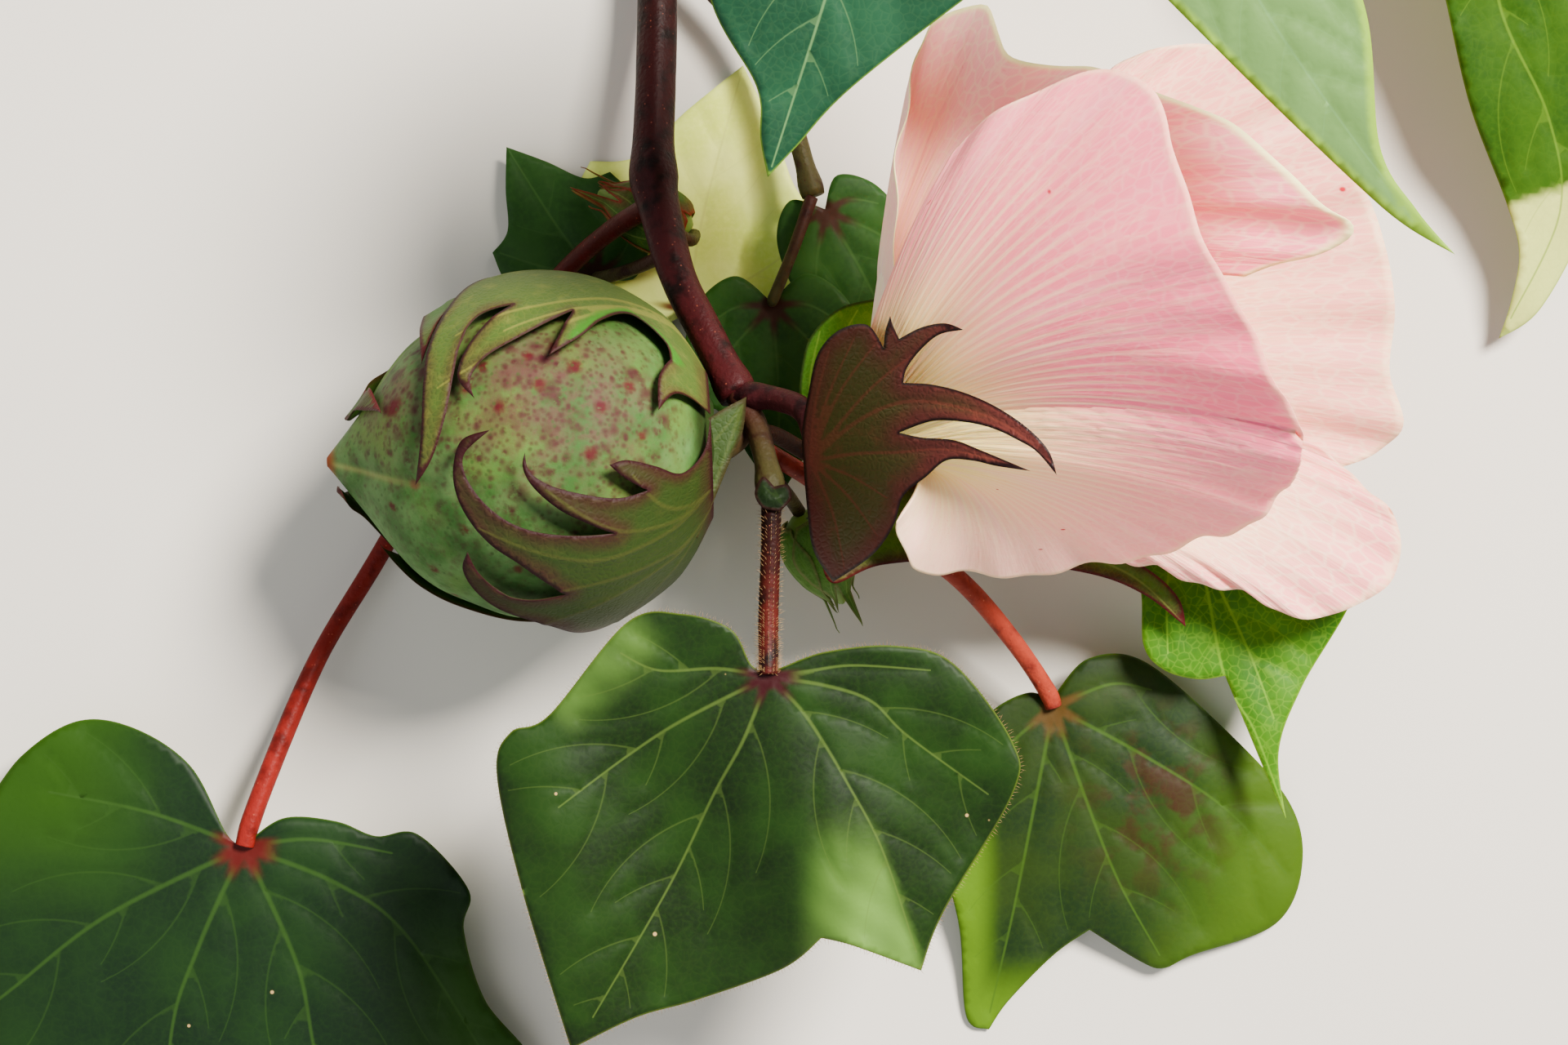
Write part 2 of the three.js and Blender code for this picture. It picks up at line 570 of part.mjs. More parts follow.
const NEAR_LEAF = [
  [[-1.9, -18.5], [-4, -17.4], [-6.5, -13.1], [-12.4, -11.2], [-19.2, -12.2], [-28.8, -23.6], [-33.5, -25.7],
    [-35.2, -30.7], [-32.2, -44.6], [-26.1, -64.5]],
  [[-26.1, -64.5], [-18, -60.6], [-10.7, -58.5], [-0.2, -54.7], [4.6, -50.9]],
  [[4.6, -50.9], [8.6, -51.9], [16.8, -54.9]],
  [[16.8, -54.9], [19.6, -47.6], [28, -33.3], [28, -26.9], [20.8, -17.3], [13.7, -15.1], [5.2, -15.8],
    [-0.2, -17.7], [-1.9, -18.5]],
];
const LOWER_LEFT_LEAF = [
  [[-66.1, -39.5], [-68.2, -38.2], [-72.6, -29.9], [-79.5, -25.2], [-86.5, -24.3], [-93.4, -28.6],
    [-99, -36], [-106, -42], [-112, -50], [-112, -60], [-108, -70]],
  [[-108, -70], [-98, -70.5], [-91, -76]],
  [[-91, -76], [-82, -82], [-76, -94]],
  [[-76, -94], [-66, -84], [-56, -77], [-44, -74], [-30, -72]],
  [[-30, -72], [-31, -65.5], [-36.6, -58.5], [-39.2, -49.9], [-38.6, -45], [-44.8, -38.2], [-50, -38.4],
    [-54.8, -36.6], [-61.3, -36.2], [-66.1, -39.5]],
];
const LOWER_RIGHT_LEAF = [
  [[33, -22.2], [33.8, -20.2], [37.4, -16.6], [43.7, -16.8], [52.4, -23.8], [61.5, -33.6], [63.5, -41.6],
    [60.3, -49.1], [50, -53], [46.5, -54.6], [43.7, -53.8], [37.4, -49.9]],
  [[37.4, -49.9], [33, -53], [27.5, -58.6], [25.1, -62.1]],
  [[25.1, -62.1], [22.3, -60.5], [21.5, -50], [19.5, -40], [20.5, -30], [25, -23.5], [30, -20.8],
    [33, -22.2]],
];
const FLOWER_LEAF = [
  [[49, 0], [46, 4.4], [41.6, 3], [41, -3], [43.6, -8], [44, -15], [46.4, -18], [50.5, -19.2], [54, -18.8]],
  [[54, -18.8], [57, -26], [59.5, -32], [61.5, -36.4]],
  [[61.5, -36.4], [60.6, -28], [63.5, -20], [70, -8], [67, -1], [60, 3], [53, 3.6], [49, 0]],
];
const TOP_LEAF = [
  [[18.6, 106.7], [12, 112], [1, 108], [-8, 96], [-11, 80], [-9, 64], [-3.4, 53.4], [-2.9, 47], [-2, 42.3]],
  [[-2, 42.3], [1.5, 46], [8, 53], [22, 64], [31, 70], [36.6, 73]],
  [[36.6, 73], [42, 69], [47, 64], [58, 53], [70, 41.5], [76, 36.4], [82.2, 32.8]],
  [[82.2, 32.8], [77.4, 38.4], [73, 46], [71.4, 62], [66, 78], [64, 96], [54, 110], [38, 117],
    [25, 113], [18.6, 106.7]],
];
const RIGHT_LEAF = [
  [[84, 96], [78, 101], [69, 96], [63, 86], [62, 74]],
  [[62, 74], [71, 73], [79.6, 70]],
  [[79.6, 70], [81, 64], [84, 51], [88.5, 39], [90, 33], [89, 27], [87.5, 22.5]],
  [[87.5, 22.5], [92.5, 26], [98, 36], [102, 48], [103.6, 58]],
  [[103.6, 58], [110, 60], [117, 59]],
  [[117, 59], [116, 74], [110, 90], [99, 100], [90, 101], [84, 96]],
];

const LEAVES = {
  leaf_near: [NEAR_LEAF, leafHeight([-1.9, -18.5, 41], 0, 0.08, 0.0012), COLOURS.darkLeaf],
  leaf_lower_left: [LOWER_LEFT_LEAF, leafHeight([-66.1, -39.5, 9], 0, 0, 0.0027), COLOURS.darkLeaf],
  leaf_lower_right: [LOWER_RIGHT_LEAF, leafHeight([33, -22.2, 6.4], 0, 0, 0.0033), COLOURS.darkLeaf],
  leaf_by_flower: [FLOWER_LEAF, leafHeight([49, 0, 12], 0, 0.04, 0), COLOURS.brightLeaf],
  leaf_top: [TOP_LEAF, leafHeight([18.6, 106.7, 80], 0, 0.19, 0), COLOURS.paleLeaf],
  leaf_right: [RIGHT_LEAF, leafHeight([84, 96, 24], 0, 0.2, 0.001), COLOURS.brightLeaf],
  leaf_back_pale: [plainLeaf([-12, 25.5], [-5, 56], 34), leafHeight([-12, 25.5, 1.5], 0, -0.015, 0),
    COLOURS.paleLeaf],
  leaf_back_left: [plainLeaf([-23, 30], [-34, 46], 19), () => 2.5, COLOURS.darkLeaf],
  leaf_back_small: [plainLeaf([5, 38.4], [15, 20], 16), () => 6.9, COLOURS.darkLeaf],
  leaf_back_heart: [plainLeaf([-1.5, 27], [-0.6, 3], 22), () => 9.4, COLOURS.darkLeaf],
};
for (const [name, [shape, height, colour]] of Object.entries(LEAVES)) {
  add(name, blade(shape, over(height), LEAF_THICKNESS, LEAF_GRAIN), colour);
}

// Leaf stalks, from what carries them to just short of the leaf.
const LEAF_STALKS = {
  stalk_near: [[[-1.5, 3.8, 29, 1.2], [-1.6, -3, 33, 1.1], [-1.9, -12, 38.6, 1.1], [-1.9, -16.4, 40.6, 1.1]],
    [sideStemSleeve], COLOURS.darkStalk],
  stalk_lower_left: [[[-16, 39, 15, 1.3], [-21.5, 35.5, 10.6, 1.2], [-28, 29.5, 6, 1.1], [-38, 16, 3, 1.1],
    [-50, -4.8, 3, 1.1], [-57, -16.5, 5, 1.1], [-63, -30.4, 8, 1.2], [-65.5, -37.2, 8.9, 1.2]],
  [stemSleeve], COLOURS.redStalk],
  stalk_lower_right: [[[-2.6, 9, 27, 1.1], [3, 5.6, 24, 1.1], [10, 0.5, 20, 1.1], [20.7, -6.3, 15.5, 1.1],
    [27.9, -14.3, 10.8, 1.1], [32.6, -21.4, 6.6, 1.1]], [sideStemSleeve], COLOURS.redStalk],
  stalk_by_flower: [[[-3.2, 11.2, 25.8, 1], [-0.8, 10.6, 20.5, 1], [4, 8, 16, 1], [18, 3.5, 12, 1],
    [34, 1, 10, 0.9], [44, 0.6, 10, 0.8], [48.4, 0.4, 10.4, 0.8]],
    [stemSleeve, sideStemSleeve], COLOURS.greenStalk],
  stalk_top: [[[26, 102, 14.4, 1.3], [25, 104, 40, 1.1], [22, 107, 66, 1.1], [19.2, 107.6, 79, 1.1]],
    [branchSleeve], COLOURS.greenStalk],
  stalk_back_pale: [[[-11.2, 26.6, 19.4, 0.9], [-12.4, 26.2, 10, 0.8], [-12, 25.8, 2.6, 0.8]],
    [stemSleeve], COLOURS.greenStalk],
  stalk_back_left: [[[-14, 33, 17, 0.9], [-18.6, 31, 9, 0.8], [-22.2, 30, 3.9, 0.8]],
    [stemSleeve], COLOURS.greenStalk],
  stalk_back_heart: [[[3.4, 39.8, 8.6, 0.8], [1, 33, 9.9, 0.7], [-1.3, 27.4, 10.8, 0.7]],
    [limb(BACK_TWIG, GAP)], COLOURS.greenStalk],
};
for (const [name, [route, carriers, colour]] of Object.entries(LEAF_STALKS)) {
  add(name, seated(limb(route, 0, STALK_SIDES), ...carriers), colour);
}

// Buds, each a pointed body on its own short stalk, and the round stipule at the side node.
const BUD_PROFILE = [[0, 1.2], [1.5, 2.8], [4.5, 3.5], [8, 2.7], [10.5, 1.2], [12, 0.4]];
const BUDS = {
  bud_upper: {
    foot: [-11.6, 35.4, 7.3],
    tip: [-24, 41, 7.3],
    stalk: [[-14.4, 36, 15.8, 0.9], [-11.6, 34.6, 11.8, 0.8], [-11, 35.2, 7.4, 0.8]],
    carrier: stemSleeve,
  },
  bud_lower: {
    foot: [2, 1, 15.4],
    tip: [7, -9.4, 12.6],
    stalk: [[-2, 6, 28.2, 0.9], [0, 4, 22, 0.8], [1.8, 1.4, 15.8, 0.8]],
    carrier: sideStemSleeve,
  },
};
for (const [name, { foot, tip, stalk, carrier }] of Object.entries(BUDS)) {
  const bud = (grow) => {
    const profile = BUD_PROFILE.map(([along, radius]) => [along, radius + grow]);
    return turned(profile, seen(...foot), seen(...tip), BUD_SIDES);
  };
  add(name, bud(0), COLOURS.calyx);
  const budStalk = seated(limb(stalk, 0, STALK_SIDES), carrier, bud(GAP));
  add(`${name}_stalk`, budStalk, COLOURS.greenStalk);
}
const STIPULE = [
  [[-1.2, 4.4], [-2.6, 5.6], [-3.6, 3.6], [-2.6, 1.8], [-0.4, 1.4]],
  [[-0.4, 1.4], [0.9, 3], [0.4, 4.6], [-1.2, 4.4]],
];
const stipulePlace = over((x, y) => 31.35 + 0.3 * (4.6 - y));
add('stipule', blade(STIPULE, stipulePlace, BRACT_THICKNESS, BRACT_GRAIN), COLOURS.darkLeaf);

// The part's origin is under the middle of the whole branch, on the table.
const bounds = new THREE.Box3().setFromObject(branch);
const middle = bounds.getCenter(new THREE.Vector3());
branch.position.set(-middle.x, -middle.y, -bounds.min.z);
branch.updateMatrixWorld(true);

export default branch;
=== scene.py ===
import json
import math
import random

import bpy
import numpy as np
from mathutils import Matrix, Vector
from mathutils.geometry import delaunay_2d_cdt


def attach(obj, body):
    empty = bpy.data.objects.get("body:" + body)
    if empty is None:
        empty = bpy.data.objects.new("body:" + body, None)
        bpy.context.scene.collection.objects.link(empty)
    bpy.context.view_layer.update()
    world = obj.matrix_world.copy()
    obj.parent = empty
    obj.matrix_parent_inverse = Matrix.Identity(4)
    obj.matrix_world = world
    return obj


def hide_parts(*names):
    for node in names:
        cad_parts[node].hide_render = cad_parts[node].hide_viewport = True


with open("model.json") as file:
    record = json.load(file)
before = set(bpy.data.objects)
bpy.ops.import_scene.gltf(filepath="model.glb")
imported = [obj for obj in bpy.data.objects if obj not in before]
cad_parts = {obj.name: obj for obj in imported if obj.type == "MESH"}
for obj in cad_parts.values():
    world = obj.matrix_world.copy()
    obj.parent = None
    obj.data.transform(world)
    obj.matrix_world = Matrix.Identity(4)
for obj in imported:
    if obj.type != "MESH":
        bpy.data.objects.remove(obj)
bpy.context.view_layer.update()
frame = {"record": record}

# The table, the light and the eye.
# The cut branch lies flat on a plain pale table in soft light from a window at its upper right,
# and the eye looks straight down on it from 40 cm. A place is x, y, z in millimetres: x and y are
# read where the line of sight meets the table, and z is the height over it.
EYE_HEIGHT = 400.0
CUT_END = (-15.5, 90.0, 2.8)
TABLE_METRES = 4


def seen(places):
    places = np.asarray(places, float)
    nearer = 1 - places[..., 2:3] / EYE_HEIGHT
    return np.concatenate([places[..., :2] * nearer, places[..., 2:3]], axis=-1)


cut_mount = next(mount for mount in frame["record"]["mounts"] if mount["name"] == "cut_end")
shift = np.array(cut_mount["pos_m"]) * 1000 - seen(CUT_END)


def put(thing, place):
    bpy.context.scene.collection.objects.link(thing)
    thing.location = (np.array(place) + shift) / 1000
    return thing


eye_lens = bpy.data.cameras.new("eye")
eye_lens.sensor_width = 36
eye_lens.lens = 75
bpy.context.scene.camera = put(bpy.data.objects.new("eye", eye_lens), (0, 0, EYE_HEIGHT))

for name, place, width, watts, warmth in (
    ("window", (420, 380, 700), 0.30, 36, (1.0, 0.95, 0.87)),
    ("room", (-600, -250, 750), 1.2, 5, (0.94, 0.97, 1.0)),
    ("low_room", (150, -800, 350), 1.0, 3, (1.0, 1.0, 1.0)),
):
    light = bpy.data.lights.new(name, "AREA")
    light.shape, light.size, light.energy, light.color = "DISK", width, watts, warmth
    lit = put(bpy.data.objects.new(name, light), place)
    lit.rotation_euler = (-Vector(place)).to_track_quat("-Z", "Y").to_euler()

room = bpy.data.worlds.new("room")
room.use_nodes = True
room.node_tree.nodes["Background"].inputs["Color"].default_value = (0.93, 0.96, 1.0, 1)
room.node_tree.nodes["Background"].inputs["Strength"].default_value = 0.3
bpy.context.scene.world = room


def tone(colour):
    """A colour as the eye names it, three numbers from 0 to 255, turned into light for a shader."""
    even = [value / 255 for value in colour]
    return tuple(v / 12.92 if v < 0.04 else ((v + 0.055) / 1.055) ** 2.4 for v in even) + (1.0,)


class Finish:
    """A surface painted in layers. A value is a number, a place or what another node gives."""

    def __init__(self, name, roughness, ground, **settings):
        self.material = bpy.data.materials.new(name)
        self.material.use_nodes = True
        self.tree = self.material.node_tree
        self.shader = self.tree.nodes["Principled BSDF"]
        self.fill(self.shader, Roughness=roughness, **settings)
        self.colour = tone(ground)

    def plug(self, socket, value):
        if isinstance(value, bpy.types.NodeSocket):
            self.tree.links.new(value, socket)
        else:
            socket.default_value = value

    def fill(self, node, **inputs):
        for key, value in inputs.items():
            self.plug(node.inputs[key.replace("_", " ")], value)

    def wire(self, kind, settings=(), **inputs):
        made = self.tree.nodes.new("ShaderNode" + kind)
        for key, value in dict(settings).items():
            setattr(made, key, value)
        self.fill(made, **inputs)
        return made

    def spot(self):
        return self.wire("TexCoord").outputs["Object"]

    def mark(self, name, output="Fac"):
        return self.wire("Attribute", {"attribute_name": name}).outputs[output]

    def grain(self, where, scale, detail=2.0, roughness=0.5):
        made = self.wire("TexNoise", Vector=where, Scale=scale, Detail=detail, Roughness=roughness)
        return made.outputs["Fac"]

    def cells(self, where, scale, randomness=1.0, feature="F1"):
        """How far a place is from the middle of its cell, or from the edge of it."""
        made = self.wire("TexVoronoi", {"feature": feature}, Vector=where, Scale=scale,
                         Randomness=randomness)
        return made.outputs["Distance"]

    def between(self, value, low, high):
        """Rises smoothly from 0 at low to 1 at high, or falls where low is the larger."""
        made = self.wire("MapRange", {"interpolation_type": "SMOOTHSTEP"}, Value=value,
                         From_Min=min(low, high), From_Max=max(low, high),
                         To_Min=float(low > high), To_Max=float(low < high))
        return made.outputs["Result"]

    def times(self, product, *values):
        for value in values:
            made = self.wire("Math", {"operation": "MULTIPLY"})
            self.plug(made.inputs[0], product)
            self.plug(made.inputs[1], value)
            product = made.outputs[0]
        return product

    def lay(self, paint, *amounts):
        """Paints a colour over what is there, by the product of amounts from 0 to 1. An amount may be
        given as a value with the two ends that between wants."""
        amounts = [self.between(*amount) if isinstance(amount, tuple) else amount for amount in amounts]
        mix = self.wire("Mix", {"data_type": "RGBA"})
        for index, value in ((0, self.times(*amounts)), (6, self.colour), (7, tone(paint))):
            self.plug(mix.inputs[index], value)
        self.colour = mix.outputs[2]

    def coat(self, height=None, depth=0.0):
        """Ends the painting. The fine relief has a depth in millimetres."""
        self.fill(self.shader, Base_Color=self.colour)
        if height is not None:
            bump = self.wire("Bump", Height=height, Distance=depth / 1000)
            self.fill(self.shader, Normal=bump.outputs["Normal"])
        return self.material


table_top = Finish("pale_table", 0.85, (206, 200, 190))
table_top.lay((214, 208, 198), table_top.grain(table_top.spot(), 6.0, 3.0))
bpy.ops.mesh.primitive_plane_add(size=TABLE_METRES, location=(0, 0, 0))
table = bpy.context.object
table.name = "table_top"
table.data.materials.append(table_top.coat())


# The main stem and the branch at its right.
# Young shoots of maroon brown bark over green wood, thick at the cut end and a little swollen
# where a leaf stood. The branch grows out of the stem and carries the two leaves at the right.
STEM = [
    (-15.5, 90, 2.8, 2.7), (-15.5, 64, 7.5, 2.4), (-15.7, 54, 10.5, 2.35), (-16, 42, 14, 2.6),
    (-15.2, 38, 15.5, 2.4), (-13, 30, 18, 2.15), (-10, 24, 20.5, 2.05), (-5.6, 15.6, 24, 1.9),
]
RIGHT_BRANCH = [
    (-15.5, 84, 3.9, 2), (4, 96, 10, 1.9), (34, 104, 16, 1.7), (62, 107, 20.5, 1.5),
    (77, 107, 23, 1.4), (83.6, 102.6, 24.2, 1.3), (84, 97.6, 24, 1.2),
]
RINGS_PER_STOP = 16
RIDGE = 0.03


def curve(stops, per_stop, ways):
    """Smooth steps from stop to stop, without the first and last stop. ways gives the way at both ends."""
    line = []
    for a, b, c, d in zip(stops, stops[1:], stops[2:], stops[3:]):
        start, end = ways(a, b, c, d)
        t = np.linspace(0, 1, per_stop, endpoint=False)[:, None]
        line.append(b + start * t + (-3 * b + 3 * c - 2 * start - end) * t**2
                    + (2 * b - 2 * c + start + end) * t**3)
    return np.vstack([*line, stops[-2:-1]])


def grown_line(stops, per_stop):
    """A smooth line through places in space, drawn less tight where they lie far apart."""
    def ways(a, b, c, d):
        gaps = [max(np.linalg.norm(q - p) ** 0.5, 1e-4) for p, q in ((a, b), (b, c), (c, d))]
        return [((n - m) / one - (o - m) / (one + two) + (o - n) / two) * gaps[1]
                for m, n, o, one, two in ((a, b, c, *gaps[:2]), (b, c, d, *gaps[1:]))]

    stops = np.asarray(stops, float)
    return curve(np.vstack([2 * stops[0] - stops[1], stops, 2 * stops[-1] - stops[-2]]), per_stop, ways)


def unit(vectors):
    vectors = np.asarray(vectors, float)
    return vectors / np.maximum(np.linalg.norm(vectors, axis=-1, keepdims=True), 1e-9)


def piece(name, points, faces, material, slot, nodes=(), marks=()):
    """Makes a mesh piece from points in millimetres. Marks are numbers that each point keeps."""
    mesh = bpy.data.meshes.new(name)
    mesh.from_pydata(((np.asarray(points) + shift) / 1000).tolist(), [], faces)
    for key, values in dict(marks).items():
        values = np.asarray(values, np.float32)
        kind, field = ("FLOAT_VECTOR", "vector") if values.ndim == 2 else ("FLOAT", "value")
        mesh.attributes.new(key, kind, "POINT").data.foreach_set(field, values.ravel())
    mesh.polygons.foreach_set("use_smooth", [True] * len(mesh.polygons))
    mesh.materials.append(material)
    made = bpy.data.objects.new(name, mesh)
    bpy.context.scene.collection.objects.link(made)
    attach(made, "root")
    if nodes:
        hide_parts(*nodes)
    return made


def travelled(line):
    """How far each point of a line is from its start, along it."""
    return np.concatenate([[0], np.cumsum(np.linalg.norm(np.diff(line, axis=0), axis=1))])


def ring_faces(rows, columns):
    """The skin between rings that have the same number of points."""
    return [(r * columns + i, r * columns + (i + 1) % columns, (r + 1) * columns + (i + 1) % columns,
             (r + 1) * columns + i) for r in range(rows - 1) for i in range(columns)]


def limb(name, route, material, slot, node, sides=20, knots=()):
    """A round shoot along a smooth line, with faint ridges, knots and a flat cut at each end."""
    route = np.asarray(route, float)
    line = grown_line(seen(route[:, :3]), RINGS_PER_STOP)
    stop = np.linspace(0, len(route) - 1, len(line))
    radius = np.interp(stop, np.arange(len(route)), route[:, 3])
    run = travelled(line)
    for place, swell, reach in knots:
        radius = radius + swell * np.exp(-((run - place * run[-1]) / reach) ** 2)
    ahead = unit(np.gradient(line, axis=0))
    normal = np.array([0.0, 0.0, 1.0])
    turn = np.arange(sides) / sides * 2 * np.pi
    points = []
    for centre, way, size, far in zip(line, ahead, radius, run):
        normal = unit(normal - way * (normal @ way))
        across = np.cross(way, normal)
        wobble = 1 + RIDGE * np.sin(5 * turn + far * 0.05) + RIDGE * 0.6 * np.sin(2 * turn + far * 0.31)
        points.append(centre + (size * wobble)[:, None]
                      * (np.cos(turn)[:, None] * normal + np.sin(turn)[:, None] * across))
    last = (len(line) - 1) * sides
    faces = [*ring_faces(len(line), sides), tuple(range(sides))[::-1], tuple(range(last, last + sides))]
    return piece(name, np.vstack(points), faces, material, slot, [node],
                 {"share": np.repeat(run, sides) / run[-1]})


def bark_finish(name, light, dark, far, fleck):
    """Bark that runs from one colour at a shoot's foot to another at its end, with dark streaks."""
    bark = Finish(name, 0.5, light, Specular_IOR_Level=0.12)
    spot = bark.spot()
    bark.lay(far, (bark.mark("share"), 0.1, 0.95))
    bark.lay(dark, (bark.grain(spot, 420, 4.0), 0.45, 0.72))
    bark.lay(fleck, (bark.cells(spot, 1500.0), 0.2, 0.08), (bark.grain(spot, 700), 0.5, 0.62))
    return bark.coat(bark.grain(spot, 1800, 3.0), 0.12)


maroon_bark = bark_finish("maroon_bark", (28, 6, 4), (14, 4, 3), (54, 12, 15), (110, 54, 40))
brown_bark = bark_finish("brown_bark", (70, 30, 18), (34, 13, 10), (62, 58, 22), (112, 78, 44))
limb("main_stem", STEM, maroon_bark, "bark", "stem_main", 26, knots=[(0.62, 0.35, 2.6), (0.985, 0.45, 2.2)])
limb("right_branch", RIGHT_BRANCH, brown_bark, "bark", "branch_right", 22, knots=[(0.42, 0.3, 2.5)])


# The side stem and the twig behind.
# Greener shoots of the year. The side stem leaves the fork and carries the near leaf, the lower
# bud and two stalks, and the twig grows out of the stem behind the pale leaf.
SIDE_STEM = [(-5.6, 15.6, 24, 1.5), (-3.5, 12, 25.5, 1.45), (-2.3, 8, 27.5, 1.35), (-1.5, 3.6, 29.2, 1.4)]
BACK_TWIG = [(-15.5, 72, 6.1, 1.4), (-5, 61, 6, 1.3), (0, 52, 7, 1.2), (3.6, 40, 8, 1.1)]
green_shoot = bark_finish("green_shoot", (56, 28, 20), (40, 16, 12), (62, 58, 28), (60, 24, 20))
limb("side_stem", SIDE_STEM, green_shoot, "green_stalk", "stem_side", knots=[(0.9, 0.35, 1.6)])
limb("back_twig", BACK_TWIG, green_shoot, "green_stalk", "twig_back", knots=[(0.97, 0.4, 1.8)])


# The boll and its stalk.
# An unripe boll has a waxy leather-like wall of four parts that join in seams at the tip. Its green
# is blotched purple red on the sunny side, and small dark oil glands lie all over it.
BOLL_BASE = (-8.5, 9.3, 24)
BOLL_TIP = (-56, 7.4, 26)
BOLL_BELLY = 19.5
LEAST_RADIUS = 0.02
BOLL_PROFILE = [
    (0, 5), (3, 10.6), (6, 14), (12, 17.6), (18, 18.8), (24, 18.5), (30, 16.2),
    (34, 13.6), (37, 10.4), (40, 6.2), (42, 3.6), (44.4, 0.6),
]
BOLL_STALK = [(-5.3, 14.6, 24.4, 1.4), (-5.2, 11.2, 24, 1.5), (-7.6, 9.5, 24, 2), (-10.6, 9.3, 24, 1.8)]
SEAMS = (14, 104, 194, 284)
FLUSHES = [(0.9, 20, 11, -22, 27), (0.7, 36, 3.6, -34, 22), (0.45, 12, 8, -4, 24)]
BLOTCHES = [
    (15.4, -29, 1.0), (19.3, -22, 0.9), (27.4, -24, 0.8), (23.8, -15, 0.8), (12.7, -14, 0.8),
    (14.0, 2, 0.9), (32.2, 56, 0.7), (28.3, 30, 0.7), (33.7, 14, 0.7), (35.8, -27, 1.2),
    (20.5, -33, 0.7), (17.5, -37, 0.9), (25.5, -31, 0.7), (9.5, -24, 0.8), (30.5, -16, 0.6),
    (8.4, -4, 0.6), (22.6, 44, 0.7), (26.2, 62, 0.6), (36.4, 30, 0.6), (30.2, 76, 0.7),
]


def smooth_line(stops, per_stop):
    """A smooth flat line through its stops."""
    stops = np.asarray(stops, float)
    return curve(np.vstack([stops[:1], stops, stops[-1:]]), per_stop,
                 lambda a, b, c, d: ((c - a) / 2, (d - b) / 2))


class Turned:
    """A body round an axis from one point in space towards another, with its radius from a profile."""

    def __init__(self, profile, base, towards):
        self.base = base
        self.axis = unit(towards - base)
        self.up = unit(np.array([0, 0, 1]) - self.axis * self.axis[2])
        self.side = np.cross(self.up, self.axis)
        self.line = smooth_line(profile, 12)

    def radius(self, along):
        return np.interp(along, self.line[:, 0], np.maximum(self.line[:, 1], 0))

    def at(self, along, turn, radius):
        return (self.base + along[..., None] * self.axis
                + (radius * np.cos(turn))[..., None] * self.up
                + (radius * np.sin(turn))[..., None] * self.side)


def round_skin(rows, columns):
    """Faces of a closed body of rings, with a point at each end."""
    faces, last = ring_faces(rows, columns), (rows - 1) * columns
    for i in range(columns):
        after = (i + 1) % columns
        faces += [(after, i, rows * columns), (last + i, last + after, rows * columns + 1)]
    return faces


def turned_piece(name, body, rows, columns, material, slot, nodes, shape=None, marks=None):
    """A turned body of so many rings with so many points in each. shape moves its radius, and marks
    gives numbers, both by along and turn."""
    length = body.line[-1, 0]
    along = (1 - np.cos(np.linspace(0, np.pi, rows))) / 2 * length
    along, turn = np.meshgrid(along, np.arange(columns) / columns * 2 * np.pi, indexing="ij")
    radius = body.radius(along)
    if shape:
        radius = radius + shape(along, turn)
    points = body.at(along, turn, np.maximum(radius, LEAST_RADIUS)).reshape(-1, 3)
    ends = [body.base, body.base + body.axis * length]
    given = marks(along, turn) if marks else {}
    given = {key: np.append(value.ravel(), [value[0].mean(), value[-1].mean()])
             for key, value in given.items()}
    return piece(name, np.vstack([points, ends]), round_skin(rows, columns), material, slot, nodes, given)


def rise(value, low, high):
    t = np.clip((np.asarray(value, float) - low) / (high - low), 0, 1)
    return t * t * (3 - 2 * t)


boll_shape = Turned(BOLL_PROFILE, seen(BOLL_BASE), seen(BOLL_TIP))


def beside(along, turn, degrees):
    """Millimetres round the wall to a line that runs from the boll's foot to its tip."""
    return np.abs((turn - np.radians(degrees) + np.pi) % (2 * np.pi) - np.pi) * boll_shape.radius(along)


def boll_relief(along, turn):
    """Seams sink into the wall towards the tip, and the wall swells a little between them."""
    relief, near_tip = np.zeros_like(along), rise(along, 22, 40)
    for seam in SEAMS:
        groove = np.exp(-(beside(along, turn, seam) / (0.5 + 0.6 * near_tip)) ** 2)
        relief -= (0.06 + 0.4 * near_tip) * groove * rise(along, 20, 36)
    lobes = np.cos(4 * (turn - np.radians(SEAMS[0])))
    relief -= 0.35 * lobes * rise(along, 6, 34) * rise(44 - along, 0, 8)
    relief += 0.14 * np.sin(3.1 * turn + along * 0.4) * np.sin(along * 0.33) * rise(along, 2, 8)
    return relief * np.minimum(1, boll_shape.radius(along) / 6)


def boll_marks(along, turn):
    """Where the wall is blotched, flushed and seamed. The flush is strongest on the side that faces up."""
    degrees = (np.degrees(turn) + 180) % 360 - 180
    blush = 0.22 * rise(along, 3, 10) * rise(100 - np.abs(degrees), 0, 60)
    for amount, place, long, way, wide in FLUSHES:
        blush += amount * np.exp(-(((along - place) / long) ** 2 + ((degrees - way) / wide) ** 2))
    blotch = sum(np.exp(-((beside(along, turn, way) ** 2 + (along - place) ** 2) / size**2))
                 for place, way, size in BLOTCHES)
    seam = np.max([np.exp(-(beside(along, turn, line) / 0.4) ** 2) for line in SEAMS], axis=0)
    return {"blotch": blotch, "blush": blush, "seam": seam * rise(along, 30, 38), "along": along}


